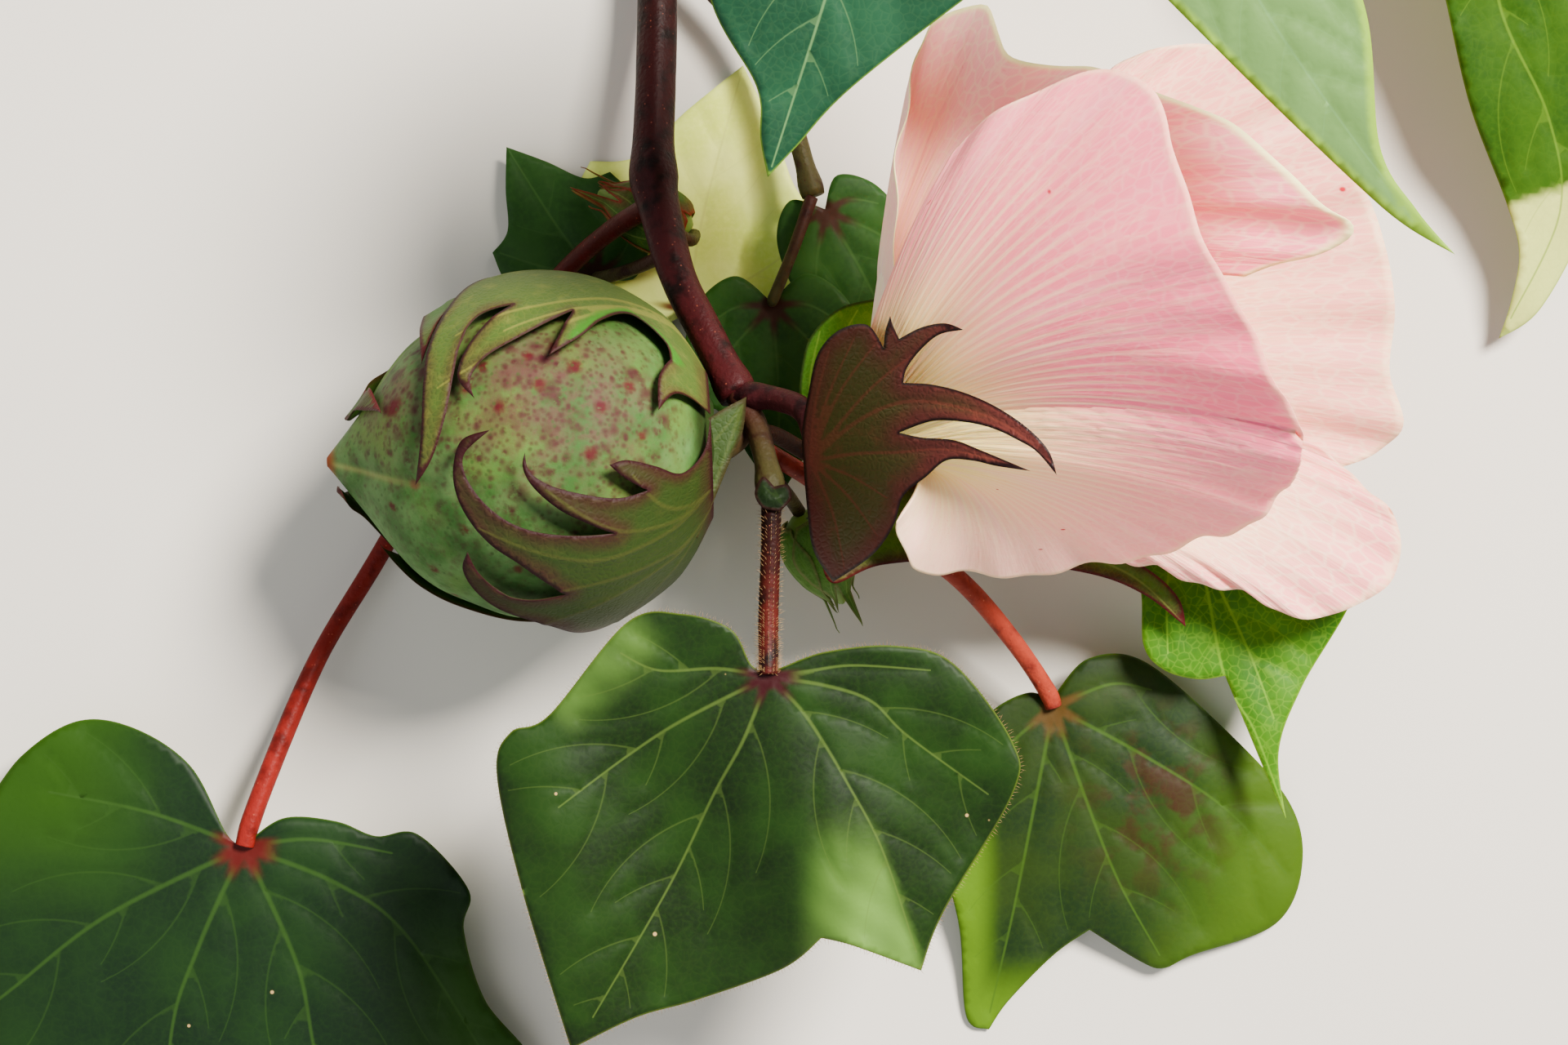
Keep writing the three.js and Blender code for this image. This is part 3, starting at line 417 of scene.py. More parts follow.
wall = Finish("boll_wall", 0.65, (48, 86, 35), Specular_IOR_Level=0.1, Subsurface_Weight=0.1,
              Subsurface_Scale=0.002)
spot, blush, along = wall.spot(), wall.mark("blush"), wall.mark("along")
patchy, fine = wall.grain(spot, 230, 5.0, 0.62), wall.grain(spot, 900, 4.0, 0.6)
wall.lay((78, 118, 62), (patchy, 0.36, 0.68))
wall.lay((82, 112, 44), (wall.grain(spot, 90), 0.46, 0.72))
wall.lay((72, 34, 38), blush, (patchy, 0.3, 0.66), 0.75)
wall.lay((84, 40, 46), blush, (fine, 0.4, 0.66), 0.4)
sown = wall.between(wall.times(blush, wall.between(fine, 0.25, 0.6)), 0.02, 0.4)
for size, reach, depth in ((260.0, 0.44, 0.7), (430.0, 0.46, 0.75), (760.0, 0.48, 0.7), (1250.0, 0.5, 0.6)):
    wall.lay((58, 15, 25), (wall.cells(spot, size), reach, reach * 0.1), sown, depth)
ragged = wall.times(wall.mark("blotch"), wall.between(fine, 0.1, 0.5))
wall.lay((70, 8, 18), (ragged, 0.15, 0.9), 0.9)
wall.lay((40, 66, 26), (wall.cells(spot, 900.0, 0.9), 0.26, 0.1), 0.5)
wall.lay((150, 150, 84), wall.mark("seam"), 0.4)
wall.lay((110, 50, 14), (along, 42.9, 44.2))
wall.lay((30, 44, 14), (along, 3.4, 1.6))
boll_wall = wall.coat(wall.grain(spot, 1300, 3.0), 0.06)
turned_piece("green_boll", boll_shape, 150, 216, boll_wall, "boll_wall", ["boll"], boll_relief, boll_marks)
limb("boll_foot", BOLL_STALK, green_shoot, "green_stalk", "boll_stalk")


# The bracts round the boll.
# Three leaf-like bracts hold the boll, each cut into long teeth that curl along it. They are dull
# green and brown purple with a thin maroon edge, and a small green foot joins one to the fork.
LOWER_BOLL_BRACT = [
    [(0.5, -8), (1.4, 1.1), (3.8, 4.3), (6.9, 2.7), (10, 1.6)], [(12, 2), (10.4, 3.6)],
    [(7.9, 5.5), (11, 5.8), (15.3, 4.8), (18.6, 3.7), (20.7, 2.2)],
    [(21.1, 0.3), (21.4, 1.8), (20.4, 3.8), (17.8, 6.2), (14.8, 8)],
    [(11.7, 9.8), (17.3, 9.2), (21, 8.4), (24, 7), (26.4, 4.8), (27.8, 2.2), (27.6, 0)],
    [(24.8, -2.2), (27.9, -1.4), (29, 1.4), (28.9, 4.4), (27.7, 7.4), (25.4, 10.2), (22.1, 12.6)],
    [(17.4, 17), (21.5, 17.6), (24.6, 16.6), (26.9, 14.4)],
    [(28, 11.7), (28.7, 14.2), (27.8, 17), (25.6, 19.5), (21.8, 21.6), (18.9, 24), (15, 30), (9, 35)],
    [(0.5, 38), (0.5, 26), (0.5, 14), (0.5, 3)],
]
UPPER_BOLL_BRACT = [
    [(0.5, -8.6), (2.6, -8.6), (4.6, -7.6)], [(6.4, -4.6), (6.2, -9.4)],
    [(4.8, -13.4), (5.4, -16.6), (8.7, -18.7), (12.2, -15.6), (14.6, -12.6)], [(18.1, -10), (16.6, -13.4)],
    [(15.4, -16.2), (20.9, -12.6), (25.1, -10.3), (26.8, -8.2)],
    [(26.4, -5.8), (28.2, -8.6), (27.4, -11.8), (25.2, -14.8)],
    [(22, -17.4), (26, -16.6), (27.9, -13), (28.7, -9), (29.7, -4.3), (31.3, 0.4)],
    [(33.4, 4), (32.5, -2.6), (32.1, -9.6), (31.5, -14.7), (29.5, -21), (26, -29), (19, -38)],
    [(0.5, -46), (0.5, -36), (0.5, -25), (0.5, -16)],
]
BACK_BOLL_BRACT = [
    [(0.5, 41), (12, 36.5), (24, 35), (33, 32)], [(38.6, 28), (37.4, 35)],
    [(36.6, 42), (40.6, 34), (42.6, 24)], [(42.9, 15), (43.4, 30), (42.4, 44), (39, 54)],
    [(36, 60), (39.5, 74), (42.2, 90), (40.6, 104)], [(37.2, 114), (38.9, 102), (39.4, 92), (36, 82)],
    [(32, 78), (32.6, 90), (32.8, 100)], [(32.4, 109), (29.4, 98), (27, 86), (22, 79), (12, 77)],
    [(0.5, 76), (0.5, 64), (0.5, 52)],
]
BRACT_THICKNESS = 0.4
# Shares of a blade's spacing: its steps along the rim and the veins, its rows, and the room beside them.
RIM_SHARE, VEIN_SHARE, ROW_SHARE = 0.6, 0.8, 0.866
RIM_ROOM, VEIN_ROOM = 0.55, 0.5
# A blade thins to this share of its thickness over this many millimetres towards its rim.
THIN_SHARE, THIN_WIDTH = 0.35, 1.2


def evenly(line, spacing):
    """The same line with its points at even distances."""
    run = travelled(line)
    spots = np.linspace(0, run[-1], max(math.ceil(run[-1] / spacing), 1) + 1)
    return np.stack([np.interp(spots, run, column) for column in line.T], axis=1)


def outline(stretches, spacing):
    """A closed outline of smooth stretches with corners between them. Each runs to the start of the next."""
    return np.vstack([evenly(smooth_line([*stretch, after[0]], 16), spacing)[:-1]
                      for stretch, after in zip(stretches, stretches[1:] + stretches[:1])])


def inside(points, rim):
    """True for each point within a closed flat outline."""
    x, y = points[:, :1], points[:, 1:]
    (ax, ay), (bx, by) = rim.T, np.roll(rim, -1, axis=0).T
    level = np.where(by == ay, 1e-12, by - ay)
    crossed = ((ay > y) != (by > y)) & (x < (bx - ax) * (y - ay) / level + ax)
    return crossed.sum(axis=1) % 2 == 1


def apart(points, starts, ends):
    """How far each point lies from each straight stretch, and how far along it the nearest place is."""
    way = ends - starts
    rel = points[:, None] - starts[None]
    share = np.clip((rel * way).sum(-1) / np.maximum((way * way).sum(-1), 1e-12), 0, 1)
    return np.linalg.norm(rel - share[..., None] * way, axis=-1), share


def vein_distance(points, veins):
    """Millimetres to the nearest vein, and the same measured in that vein's own half widths."""
    lines = [np.column_stack([line, np.linspace(first, last, len(line))]) for line, first, last in veins]
    near, far = np.vstack([line[:-1] for line in lines]), np.vstack([line[1:] for line in lines])
    plain, scaled = [], []
    for part in np.array_split(points, max(len(points) // 1000, 1)):
        distance, share = apart(part, near[:, :2], far[:, :2])
        plain.append(distance.min(axis=1))
        scaled.append((distance / (near[:, 2] + (far - near)[:, 2] * share)).min(axis=1))
    return np.concatenate(plain), np.concatenate(scaled)


def rim_distance(points, rim):
    return vein_distance(points, [(np.vstack([rim, rim[:1]]), 1, 1)])[0]


def flat_skin(rim, veins, spacing):
    """Even small triangles within an outline, with their sides laid along the veins."""
    (left, low), (right, high) = rim.min(axis=0), rim.max(axis=0)
    grid = np.array([(x + spacing / 2 * (row % 2), y)
                     for row, y in enumerate(np.arange(low, high, spacing * ROW_SHARE))
                     for x in np.arange(left, right, spacing)])
    grid = grid[inside(grid, rim)]
    grid = grid[rim_distance(grid, rim) > spacing * RIM_ROOM]
    lines = [evenly(line, spacing * VEIN_SHARE) for line, _, _ in veins]
    grid = grid[vein_distance(grid, [(line, 1, 1) for line in lines])[0] > spacing * VEIN_ROOM]
    start = len(rim)
    edges = [(i, (i + 1) % start) for i in range(start)]
    for line in lines:
        edges += [(i, i + 1) for i in range(start, start + len(line) - 1)]
        start += len(line)
    flat = [Vector(point) for point in np.vstack([rim, *lines, grid])]
    made = delaunay_2d_cdt(flat, edges, [], 0, 1e-5, False)
    points, faces = (np.array([tuple(row) for row in made[part]]) for part in (0, 2))
    return points, faces[inside(points[faces].mean(axis=1), rim)]


def blade(name, stretches, place, thickness, spacing, veins, material, slot, node, relief, **marks):
    """A thin closed blade. place(flat, offset) puts flat points in space, moved through the thickness,
    and each mark is a function of the flat points."""
    rim = outline(stretches, spacing * RIM_SHARE)
    flat, faces = flat_skin(rim, veins, spacing)
    edge = rim_distance(flat, rim)
    vein_mm, vein = vein_distance(flat, veins)
    half = thickness / 2 * (THIN_SHARE + (1 - THIN_SHARE) * rise(edge, 0, THIN_WIDTH))
    height = relief(flat, edge, vein_mm)
    points = np.vstack([place(flat, height + half), place(flat, height - half)])
    a, b, c = (flat[faces[:, corner]] for corner in range(3))
    area = (b - a)[:, 0] * (c - a)[:, 1] - (b - a)[:, 1] * (c - a)[:, 0]
    faces = np.where((area > 0)[:, None], faces, faces[:, ::-1])[np.abs(area) > 1e-9]
    under = len(flat)
    skin = [*map(tuple, faces.tolist()), *map(tuple, (faces[:, ::-1] + under).tolist())]
    sides = [side for p, q, r in faces.tolist() for side in ((p, q), (q, r), (r, p))]
    both = set(sides)
    skin += [(q, p, p + under, q + under) for p, q in sides if (q, p) not in both]
    sample = faces[len(faces) // 2]
    a, b, c = points[sample]
    if np.cross(b - a, c - a) @ (a - points[sample[0] + under]) < 0:
        skin = [face[::-1] for face in skin]
    given = {"edge": edge, "vein": vein, **{key: mark(flat) for key, mark in marks.items()}}
    given = {key: np.tile(values, 2) for key, values in given.items()}
    given["under"] = np.repeat([0.0, 1.0], under)
    given["flat"] = np.tile(np.pad(flat, ((0, 0), (0, 1))), (2, 1))
    return piece(name, points, skin, material, slot, [node] if node else [], given)


def over(height):
    """Lays a flat outline at the height that a function gives over the table."""
    return lambda flat, offset: seen(np.column_stack([flat, height(*flat.T) + offset]))


def round_boll(lift):
    """A flat bract pattern bent round the boll: along it, and round it from the side that faces up."""
    def place(flat, offset):
        along, turn = flat[:, 0], flat[:, 1] / BOLL_BELLY
        return boll_shape.at(along, turn, boll_shape.radius(along) + lift + offset)
    return place


def bract_finish(name, ground, brown, edge_tone, vein_tone, under_tone, brown_from, roughness=0.6):
    """Green blade, brown towards the edge, with a thin dark edge, pale veins and a fine net."""
    bract = Finish(name, roughness, ground, Specular_IOR_Level=0.14)
    flat, edge = bract.mark("flat", "Vector"), bract.mark("edge")
    ragged = bract.wire("Math", {"operation": "MULTIPLY_ADD"})
    for socket, value in zip(ragged.inputs, (bract.grain(bract.spot(), 160, 4.0), -3.0, edge)):
        bract.plug(socket, value)
    bract.lay(brown, (ragged.outputs[0], brown_from - 1.5, -1.4))
    bract.lay(vein_tone, (bract.grain(flat, 0.5, 4.0), 0.5, 1.1))
    net = bract.cells(flat, 1.4, feature="DISTANCE_TO_EDGE")
    bract.lay(vein_tone, (net, 0.09, 0.02), 0.1)
    bract.lay(vein_tone, (bract.mark("vein"), 1.2, 0.2), 0.5)
    bract.lay(under_tone, bract.mark("bright"))
    bract.lay(edge_tone, (edge, 0.5, 0.12))
    bract.lay(under_tone, bract.mark("under"), 0.3)
    return bract.coat(bract.between(net, 0.0, 0.3), 0.03)


def fan_veins(root, tips, first, last, bow=0.0):
    """Veins from one root to each tip, all bowed the same way."""
    root, veins = np.array(root, float), []
    for tip in np.array(tips, float):
        way = tip - root
        middle = (root + tip) / 2 + bow * np.array([-way[1], way[0]])
        veins.append((smooth_line([root, middle, tip], 14), first, last))
    return veins


# The lower bract is painted darker as painted shade and the upper one lighter as painted sunlight: both are
# one bract green, in a shaded and a sunlit copy.
shaded_bract_green = bract_finish("shaded_bract_green", (34, 50, 12), (44, 24, 14), (36, 7, 9), (62, 64, 24),
                                  (40, 76, 14), 2.6)
sunny_bract_green = bract_finish("sunny_bract_green", (60, 80, 28), (62, 58, 26), (44, 14, 14),
                                 (120, 118, 48), (46, 100, 16), 1.8)
dark_bract_green = bract_finish("dark_bract_green", (50, 88, 26), (56, 54, 22), (60, 12, 14), (90, 112, 46),
                                (40, 84, 20), 2.0)


def curled_rim(flat, edge, vein_mm):
    """A bract's rim turns up off the boll a little, and its veins stand proud."""
    return 0.35 * np.exp(-edge / 0.9) + 0.16 * np.exp(-((vein_mm / 0.5) ** 2))


def rippled_back(flat, edge, vein_mm):
    return curled_rim(flat, edge, vein_mm) + 0.25 * np.sin(flat[:, 1] * 0.5)


lower_veins = fan_veins((0.6, 12), [(9.5, 3.4), (19, 4.2), (26.6, 8.4)], 0.5, 0.18, 0.1)
lower_veins += fan_veins((0.6, 18), [(25, 17.2), (20, 22.4), (12, 29)], 0.45, 0.18, -0.06)
upper_veins = fan_veins((0.6, -28), [(13, -17), (23, -13.4), (28.4, -14.6), (30.5, -8)], 0.5, 0.18, 0.08)
upper_veins += fan_veins((0.6, -34), [(24, -27), (16, -36)], 0.4, 0.16, -0.05)
back_veins = fan_veins((0.6, 58), [(35, 34), (41, 38), (38, 50), (24, 56), (37, 84), (30, 92)], 0.5, 0.2)


def turned_lip(flat):
    """The upper bract's lip turns over by its foot and shows the bright green inside."""
    lip = np.array([(4.6, -14.6), (6.4, -17.3), (8.9, -18.2), (12.4, -15.2), (14.6, -12.4)])
    distance = apart(flat, lip[:-1], lip[1:])[0].min(axis=1)
    return rise(1.5 - distance, 0, 0.5) * rise(flat[:, 1], -22, -19)


for name, stretches, lift, veins, skin, relief, marks in (
    ("lower", LOWER_BOLL_BRACT, 1.8, lower_veins, shaded_bract_green, curled_rim, {}),
    ("upper", UPPER_BOLL_BRACT, 1.8, upper_veins, sunny_bract_green, curled_rim, {"bright": turned_lip}),
    ("back", BACK_BOLL_BRACT, 1.0, back_veins, dark_bract_green, rippled_back, {}),
):
    blade(name + "_boll_bract", stretches, round_boll(lift), BRACT_THICKNESS, 0.6, veins, skin, "boll_bract",
          "boll_bract_" + name, relief, **marks)

BRACT_FOOT = [
    [(-14, 5), (-11.6, 10.6), (-8.6, 13.2)], [(-4.6, 15.4), (-5, 11.4), (-6.4, 8), (-8.2, 3.6)],
    [(-10.6, -2), (-13, 1)],
]
foot_green = bract_finish("foot_green", (36, 54, 14), (40, 46, 16), (44, 40, 18), (58, 70, 26), (40, 76, 14),
                          1.0)


def foot_height(x, y):
    """The lower bract's foot runs from the boll's shoulder up to the fork."""
    return 27.5 + 0.55 * (-5.2 - x) + 0.5 * np.sin(x * 0.8)


blade("lower_bract_foot", BRACT_FOOT, over(foot_height), BRACT_THICKNESS, 0.5,
      fan_veins((-5, 14.4), [(-11, 6.8), (-9.8, 1)], 0.3, 0.16), foot_green, "boll_bract", None, curled_rim)


# The flower's stalk, calyx and column.
# A short maroon stalk swells into a small green cup, the calyx. The column stands in the middle of
# the cup, with many small cream anthers on fine threads and a pale style at its end.
CALYX_BASE = (5.5, 5, 34)
FLOWER_TURN = math.radians(38)
FLOWER_TILT = math.radians(8)
CALYX_LENGTH = 8
GAP = 0.3
FLOWER_STALK = [
    (-5.6, 15.6, 24, 1.4), (-1, 15.2, 27.5, 1.4), (2.5, 13.6, 31, 1.4), (4.2, 9.5, 33, 1.5),
    (6.2, 6, 34.2, 1.8),
]
CALYX_PROFILE = [(0, 2), (2, 3.6), (5, 5), (CALYX_LENGTH, 5.4)]
COLUMN_PROFILE = [(0, 1.7), (6, 1.5), (12, 1.3), (20, 1.1), (26, 0.9), (29, 0.5)]
flower_axis = np.array([math.cos(FLOWER_TILT) * math.cos(FLOWER_TURN),
                        math.cos(FLOWER_TILT) * math.sin(FLOWER_TURN), math.sin(FLOWER_TILT)])
flower_front = unit(np.array([0, 0, 1]) - flower_axis * flower_axis[2])
flower_left = np.cross(flower_front, flower_axis)
calyx_base = seen(CALYX_BASE)
claw_centre = calyx_base + flower_axis * (CALYX_LENGTH + GAP)

dark_stalk = bark_finish("dark_stalk", (52, 16, 20), (24, 7, 10), (58, 16, 20), (104, 54, 50))
limb("flower_foot", FLOWER_STALK, dark_stalk, "dark_stalk", "flower_stalk", knots=[(0.12, 0.3, 1.6)])
cup = Finish("calyx_skin", 0.55, (118, 146, 48), Specular_IOR_Level=0.4)
spot = cup.spot()
cup.lay((78, 112, 32), cup.grain(spot, 240, 4.0))
cup.lay((48, 60, 34), (cup.cells(spot, 1100.0), 0.22, 0.1))
calyx_skin = cup.coat(cup.grain(spot, 1200), 0.1)
calyx_shape = Turned(CALYX_PROFILE, calyx_base, claw_centre)


def calyx_folds(along, turn):
    return 0.18 * np.cos(5 * turn) * rise(along, 1, 7) + 0.06 * np.cos(15 * turn)


turned_piece("calyx_cup", calyx_shape, 40, 60, calyx_skin, "calyx", ["flower_calyx"], calyx_folds)
cream = Finish("cream_column", 0.6, (240, 228, 170), Subsurface_Weight=0.1, Subsurface_Scale=0.001)
spot = cream.spot()
cream.lay((226, 206, 128), cream.grain(spot, 500))
cream_column = cream.coat(cream.grain(spot, 2500), 0.15)
column_shape = Turned(COLUMN_PROFILE, claw_centre, claw_centre + flower_axis)
turned_piece("pollen_column", column_shape, 40, 24, cream_column, "stamen", ["stamen_column"])
grains = Finish("pollen", 0.8, (244, 232, 172))
spot = grains.spot()
grains.lay((226, 196, 108), grains.grain(spot, 1500))
pollen = grains.coat(grains.grain(spot, 4000), 0.1)
ANTHERS = 96
ANTHER_SPAN, THREAD_LENGTHS, TIP_LIFTS = (7, 26.5), (2.4, 3.5), (0.4, 1.3)
ANTHER_SIZE, THREAD_SIZE = (0.62, 0.42, 0.5), (0.09, 0.09, 1.7)
BALL_ROWS, BALL_COLUMNS = 5, 8
polar, angle = np.meshgrid(np.linspace(0.25, np.pi - 0.25, BALL_ROWS),
                           np.arange(BALL_COLUMNS) / BALL_COLUMNS * 2 * np.pi, indexing="ij")
ball = np.stack([np.sin(polar) * np.cos(angle), np.sin(polar) * np.sin(angle), np.cos(polar)], axis=-1)
ball = np.vstack([ball.reshape(-1, 3), [[0, 0, 1], [0, 0, -1]]])
rng = random.Random(11)
points, faces = [], []
for _ in range(ANTHERS):
    along, turn = rng.uniform(*ANTHER_SPAN), rng.uniform(0, 2 * np.pi)
    out = column_shape.at(np.array(0.0), np.array(turn), np.array(1.0)) - column_shape.base
    foot = column_shape.base + column_shape.axis * along
    tip = foot + out * rng.uniform(*THREAD_LENGTHS) + column_shape.axis * rng.uniform(*TIP_LIFTS)
    way = unit(tip - foot)
    ways = np.array([unit(np.cross(way, column_shape.axis)), column_shape.axis, way])
    for centre, sizes in ((tip, ANTHER_SIZE), ((foot + tip) / 2, THREAD_SIZE)):
        start = len(points) * len(ball)
        points.append(centre + (ball * sizes) @ ways)
        faces += [tuple(i + start for i in face) for face in round_skin(BALL_ROWS, BALL_COLUMNS)]
piece("pollen_heads", np.vstack(points), faces, pollen, "stamen")


# The five petals.
# Each petal is a thin silky fan that widens from a narrow claw in the calyx and laps the next one.
# It is cream at the foot and pink above, with pale veins that fork, and a soft uneven margin.
CLAW_RADIUS = 4.2
CLAW_LAP = 1.6
CLAW_SPREAD = 84
VEIN_SPREAD = 72
FLARE = 46
LAP = 16
PETAL_THICKNESS = 0.3
PLAIN_LACE, FAINT_LACE = 0.42, 0.13
PLAIN_LIP, PALE_LIP = 0.25, 1.0
PETALS = {
    "petal_front": (20, (1.0, 0.74, 0.16, 0.66), [
        (58, 5, 43), (63.5, 9.5, 54), (59, 20, 64), (51, 36, 70), (47.5, 46, 69), (45.5, 52.8, 66),
        (39.3, 55.6, 64), (30, 52.3, 61), (23.8, 48.7, 58), (19.7, 44, 55), (16.9, 34.7, 50)]),
    "petal_left": (92, (0.8, 0.24, 0.3, 0.9), [
        (56.3, 30.6, 42), (69.8, 35, 46), (64.5, 40.5, 50), (54.5, 49, 52), (45.8, 52.6, 50),
        (37.9, 55.8, 47), (27.9, 57, 41), (24.7, 63.4, 36), (19, 61.5, 36), (15.6, 56, 40),
        (14, 40.5, 42), (12.6, 27, 40)]),
    "petal_back": (164, (0.5, 0.4, 0.3, 0.9), [
        (38, 54, 24), (45.5, 58, 26), (54, 58, 26), (66, 49, 24), (72.1, 38.5, 22), (74.8, 27.3, 20),
        (74.2, 18.2, 18.5), (75.9, 12.1, 17), (72.8, 8.6, 15), (66, 6, 14)]),
    "petal_right": (226, (0.6, 0.6, 0.5, 1.0), [
        (64, 10, 17.5), (70, 5.6, 18), (75.2, -0.5, 19), (74.7, -6.7, 19.5), (68.8, -10.7, 20),
        (64, -11.8, 20), (55.4, -8.5, 20.5), (47.4, -6.4, 21), (40, -4, 22)]),
    "petal_lower": (308, (0.06, 1.0, 0.2, 0.8), [
        (14, 0, 38), (16, -5.7, 31), (24, -6.4, 27), (34, -6, 27), (42, -4.5, 29), (53.8, -1.6, 36),
        (62.9, 2.7, 46), (64.8, 5.4, 52), (60.2, 9, 60)]),
}
PETAL_CELLS = (110, 80)
FLAT_LENGTH = 50
# Where a point is on any fan: from one side to the other, and from the foot to the margin.
sideways, upwards = np.meshgrid(*(np.linspace(0, 1, count + 1) for count in PETAL_CELLS), indexing="ij")


def outwards(degrees):
    angle = np.radians(degrees)[..., None]
    return flower_front * np.cos(angle) + flower_left * np.sin(angle)


def fan_surface(angle, margin):
    """A fan of veins. Each leaves the claw outwards and bends to its place on the margin."""
    rim = evenly(grown_line(seen(margin), 24), 0.05)
    side = sideways - 0.5
    foot = claw_centre + outwards(angle + CLAW_SPREAD * side) * (CLAW_RADIUS + CLAW_LAP * side)[..., None]
    end = np.stack([np.interp(sideways, np.linspace(0, 1, len(rim)), column) for column in rim.T], axis=-1)
    flare = np.radians(FLARE + LAP * side)[..., None]
    leaving = flower_axis * np.cos(flare) + outwards(angle + VEIN_SPREAD * side) * np.sin(flare)
    bend = foot + leaving * np.linalg.norm(foot - end, axis=-1, keepdims=True) / 2
    t = upwards[..., None]
    return foot * (1 - t) ** 2 + bend * 2 * t * (1 - t) + end * t**2


def outer_side(surface, angle):
    """The way out of a petal at each of its points."""
    normal = unit(np.cross(np.gradient(surface, axis=0), np.gradient(surface, axis=1)))
    middle = normal[normal.shape[0] // 2, normal.shape[1] // 2]
    return normal if middle @ outwards(np.array(float(angle))) > 0 else -normal


def laid_on(surface, carrier, carrier_side, from_share):
    """The part of a petal beyond from_share lies closer and closer on the petal that it laps."""
    resting, carrier, carrier_side = surface.copy(), carrier.reshape(-1, 3), carrier_side.reshape(-1, 3)
    for row in np.nonzero(sideways[:, 0] > from_share)[0]:
        gap = np.linalg.norm(surface[row][:, None] - carrier, axis=-1)
        near, share = gap.argmin(axis=1), sideways[row, 0]
        held = carrier[near] + carrier_side[near] * (0.5 - 1.1 * rise(share, 0.86, 1.0))
        amount = rise(share, from_share, 1.0) * rise(12 - gap.min(axis=1), 0, 2)
        resting[row] += (held - surface[row]) * amount[:, None]
    return resting


def petal(number, name, angle, pink, surface):
    """A petal's fan with its thickness, its frilled margin and its pleats. pink is how pink it is at
    one side and at the other, and where on its way up the pink sets in and is full."""
    def wave(count, start):
        return np.sin(2 * np.pi * (count * sideways + start))

    normal = outer_side(surface, angle)
    frill = 0.45 * wave(5.3, 0.17 * number) + 0.3 * wave(11, 0.4)
    pleat = 0.4 * wave(3.2, 0.21 * number) * upwards * (1 - upwards) * 2
    ribs = 0.05 * np.cos(2 * np.pi * 30 * sideways) * (1 - upwards)
    free = 1 - rise(sideways, 0.7, 0.9) if name == "petal_lower" else 1
    offset = ((frill * rise(upwards, 0.72, 1.0) + pleat) * free + ribs)[..., None]
    half = (PETAL_THICKNESS / 2 * (1 - 0.6 * rise(upwards, 0.9, 1)))[..., None]
    points = [(surface + normal * (offset + way * half)).reshape(-1, 3) for way in (1, -1)]
    count = sideways.size
    grid = np.arange(count).reshape(sideways.shape)
    cells = np.stack([grid[:-1, :-1], grid[1:, :-1], grid[1:, 1:], grid[:-1, 1:]], axis=-1).reshape(-1, 4)
    faces = [face for a, b, c, d in cells.tolist()
             for face in ((a, b, c, d), (a + count, d + count, c + count, b + count))]
    ring = np.concatenate([grid[:-1, 0], grid[-1, :-1], grid[:0:-1, -1], grid[0, :0:-1]]).tolist()
    faces += [(q, p, p + count, q + count) for p, q in zip(ring, ring[1:] + ring[:1])]
    middle = PETAL_CELLS[1] // 2
    corner = surface[0, middle]
    if np.cross(surface[1, middle] - corner, surface[0, middle + 1] - corner) @ normal[0, middle] < 0:
        faces = [face[::-1] for face in faces]
    width = np.linalg.norm(surface[-1, -1] - surface[0, -1])
    first, last, low, high = pink
    marks = {
        "fan": sideways * 10 + number * 13, "up": upwards,
        "pink": (first + (last - first) * sideways) * rise(upwards, low, high),
        "lace": np.full(count, FAINT_LACE if name in ("petal_front", "petal_lower") else PLAIN_LACE),
        "lip": np.full(count, PALE_LIP if name == "petal_left" else PLAIN_LIP)}
    marks = {key: np.tile(values.ravel(), 2) for key, values in marks.items()}
    flat = np.stack([(sideways - 0.5) * width, upwards * FLAT_LENGTH, np.full_like(upwards, number * 7.0)],
                    axis=-1)
    marks["flat"] = np.tile(flat.reshape(-1, 3), (2, 1))
    return piece(name + "_silk", np.vstack(points), faces, petal_silk, "petal", [name], marks)


silk = Finish("petal_silk", 0.55, (255, 226, 92), Specular_IOR_Level=0.15, Sheen_Weight=0.05,
              Sheen_Roughness=0.4, Subsurface_Weight=0.15, Subsurface_Scale=0.002)
up, lip, flat = silk.mark("up"), silk.mark("lip"), silk.mark("flat", "Vector")
fan = silk.wire("CombineXYZ", X=silk.mark("fan"), Y=silk.times(up, 0.7)).outputs[0]
rays = silk.grain(fan, 9.0, 3.0)
silk.lay((255, 212, 138), (up, 0.2, 0.6))
silk.lay((255, 206, 162), (up, 0.55, 0.95))
# Painted light: the left petal's collar is painted paler, for the light that falls on it and shines through
# it.
silk.lay((255, 222, 212), lip, 0.85)
silk.lay((255, 76, 128), silk.mark("pink"), 0.95)
silk.lay((255, 176, 180), (silk.grain(fan, 1.6), 0.5, 0.72), 0.3)
silk.lay((255, 206, 168), (rays, 0.52, 0.68), 0.22)
lines = silk.wire("TexWave", {"wave_type": "BANDS", "bands_direction": "X"}, Vector=fan, Scale=1.25,
                  Distortion=2.2, Detail=2.0, Detail_Scale=0.6)
silk.lay((255, 224, 168), (lines.outputs["Fac"], 0.5, 1.0), (up, 0.98, 0.5), 0.5)
long_cells = silk.wire("Mapping", Vector=flat, Scale=(1.0, 0.36, 1.0)).outputs[0]
net = silk.cells(long_cells, 1.5, feature="DISTANCE_TO_EDGE")
silk.lay((255, 228, 192), (net, 0.16, 0.0), (up, 0.3, 0.8), silk.mark("lace"))
silk.lay((240, 70, 100), (silk.cells(flat, 0.8, 0.7), 0.16, 0.05), 0.22)
silk.lay((190, 20, 50), (silk.cells(flat, 0.16), 0.055, 0.03))
silk.lay((255, 240, 170), (up, 0.978, 0.998), lip)
petal_silk = silk.coat(rays, 0.16)
fans = {name: fan_surface(angle, margin) for name, (angle, _, margin) in PETALS.items()}
front = fans["petal_front"]
fans["petal_lower"] = laid_on(fans["petal_lower"], front, outer_side(front, PETALS["petal_front"][0]), 0.6)
for number, (name, (angle, pink, _)) in enumerate(PETALS.items()):
    petal(number, name, angle, pink, fans[name])


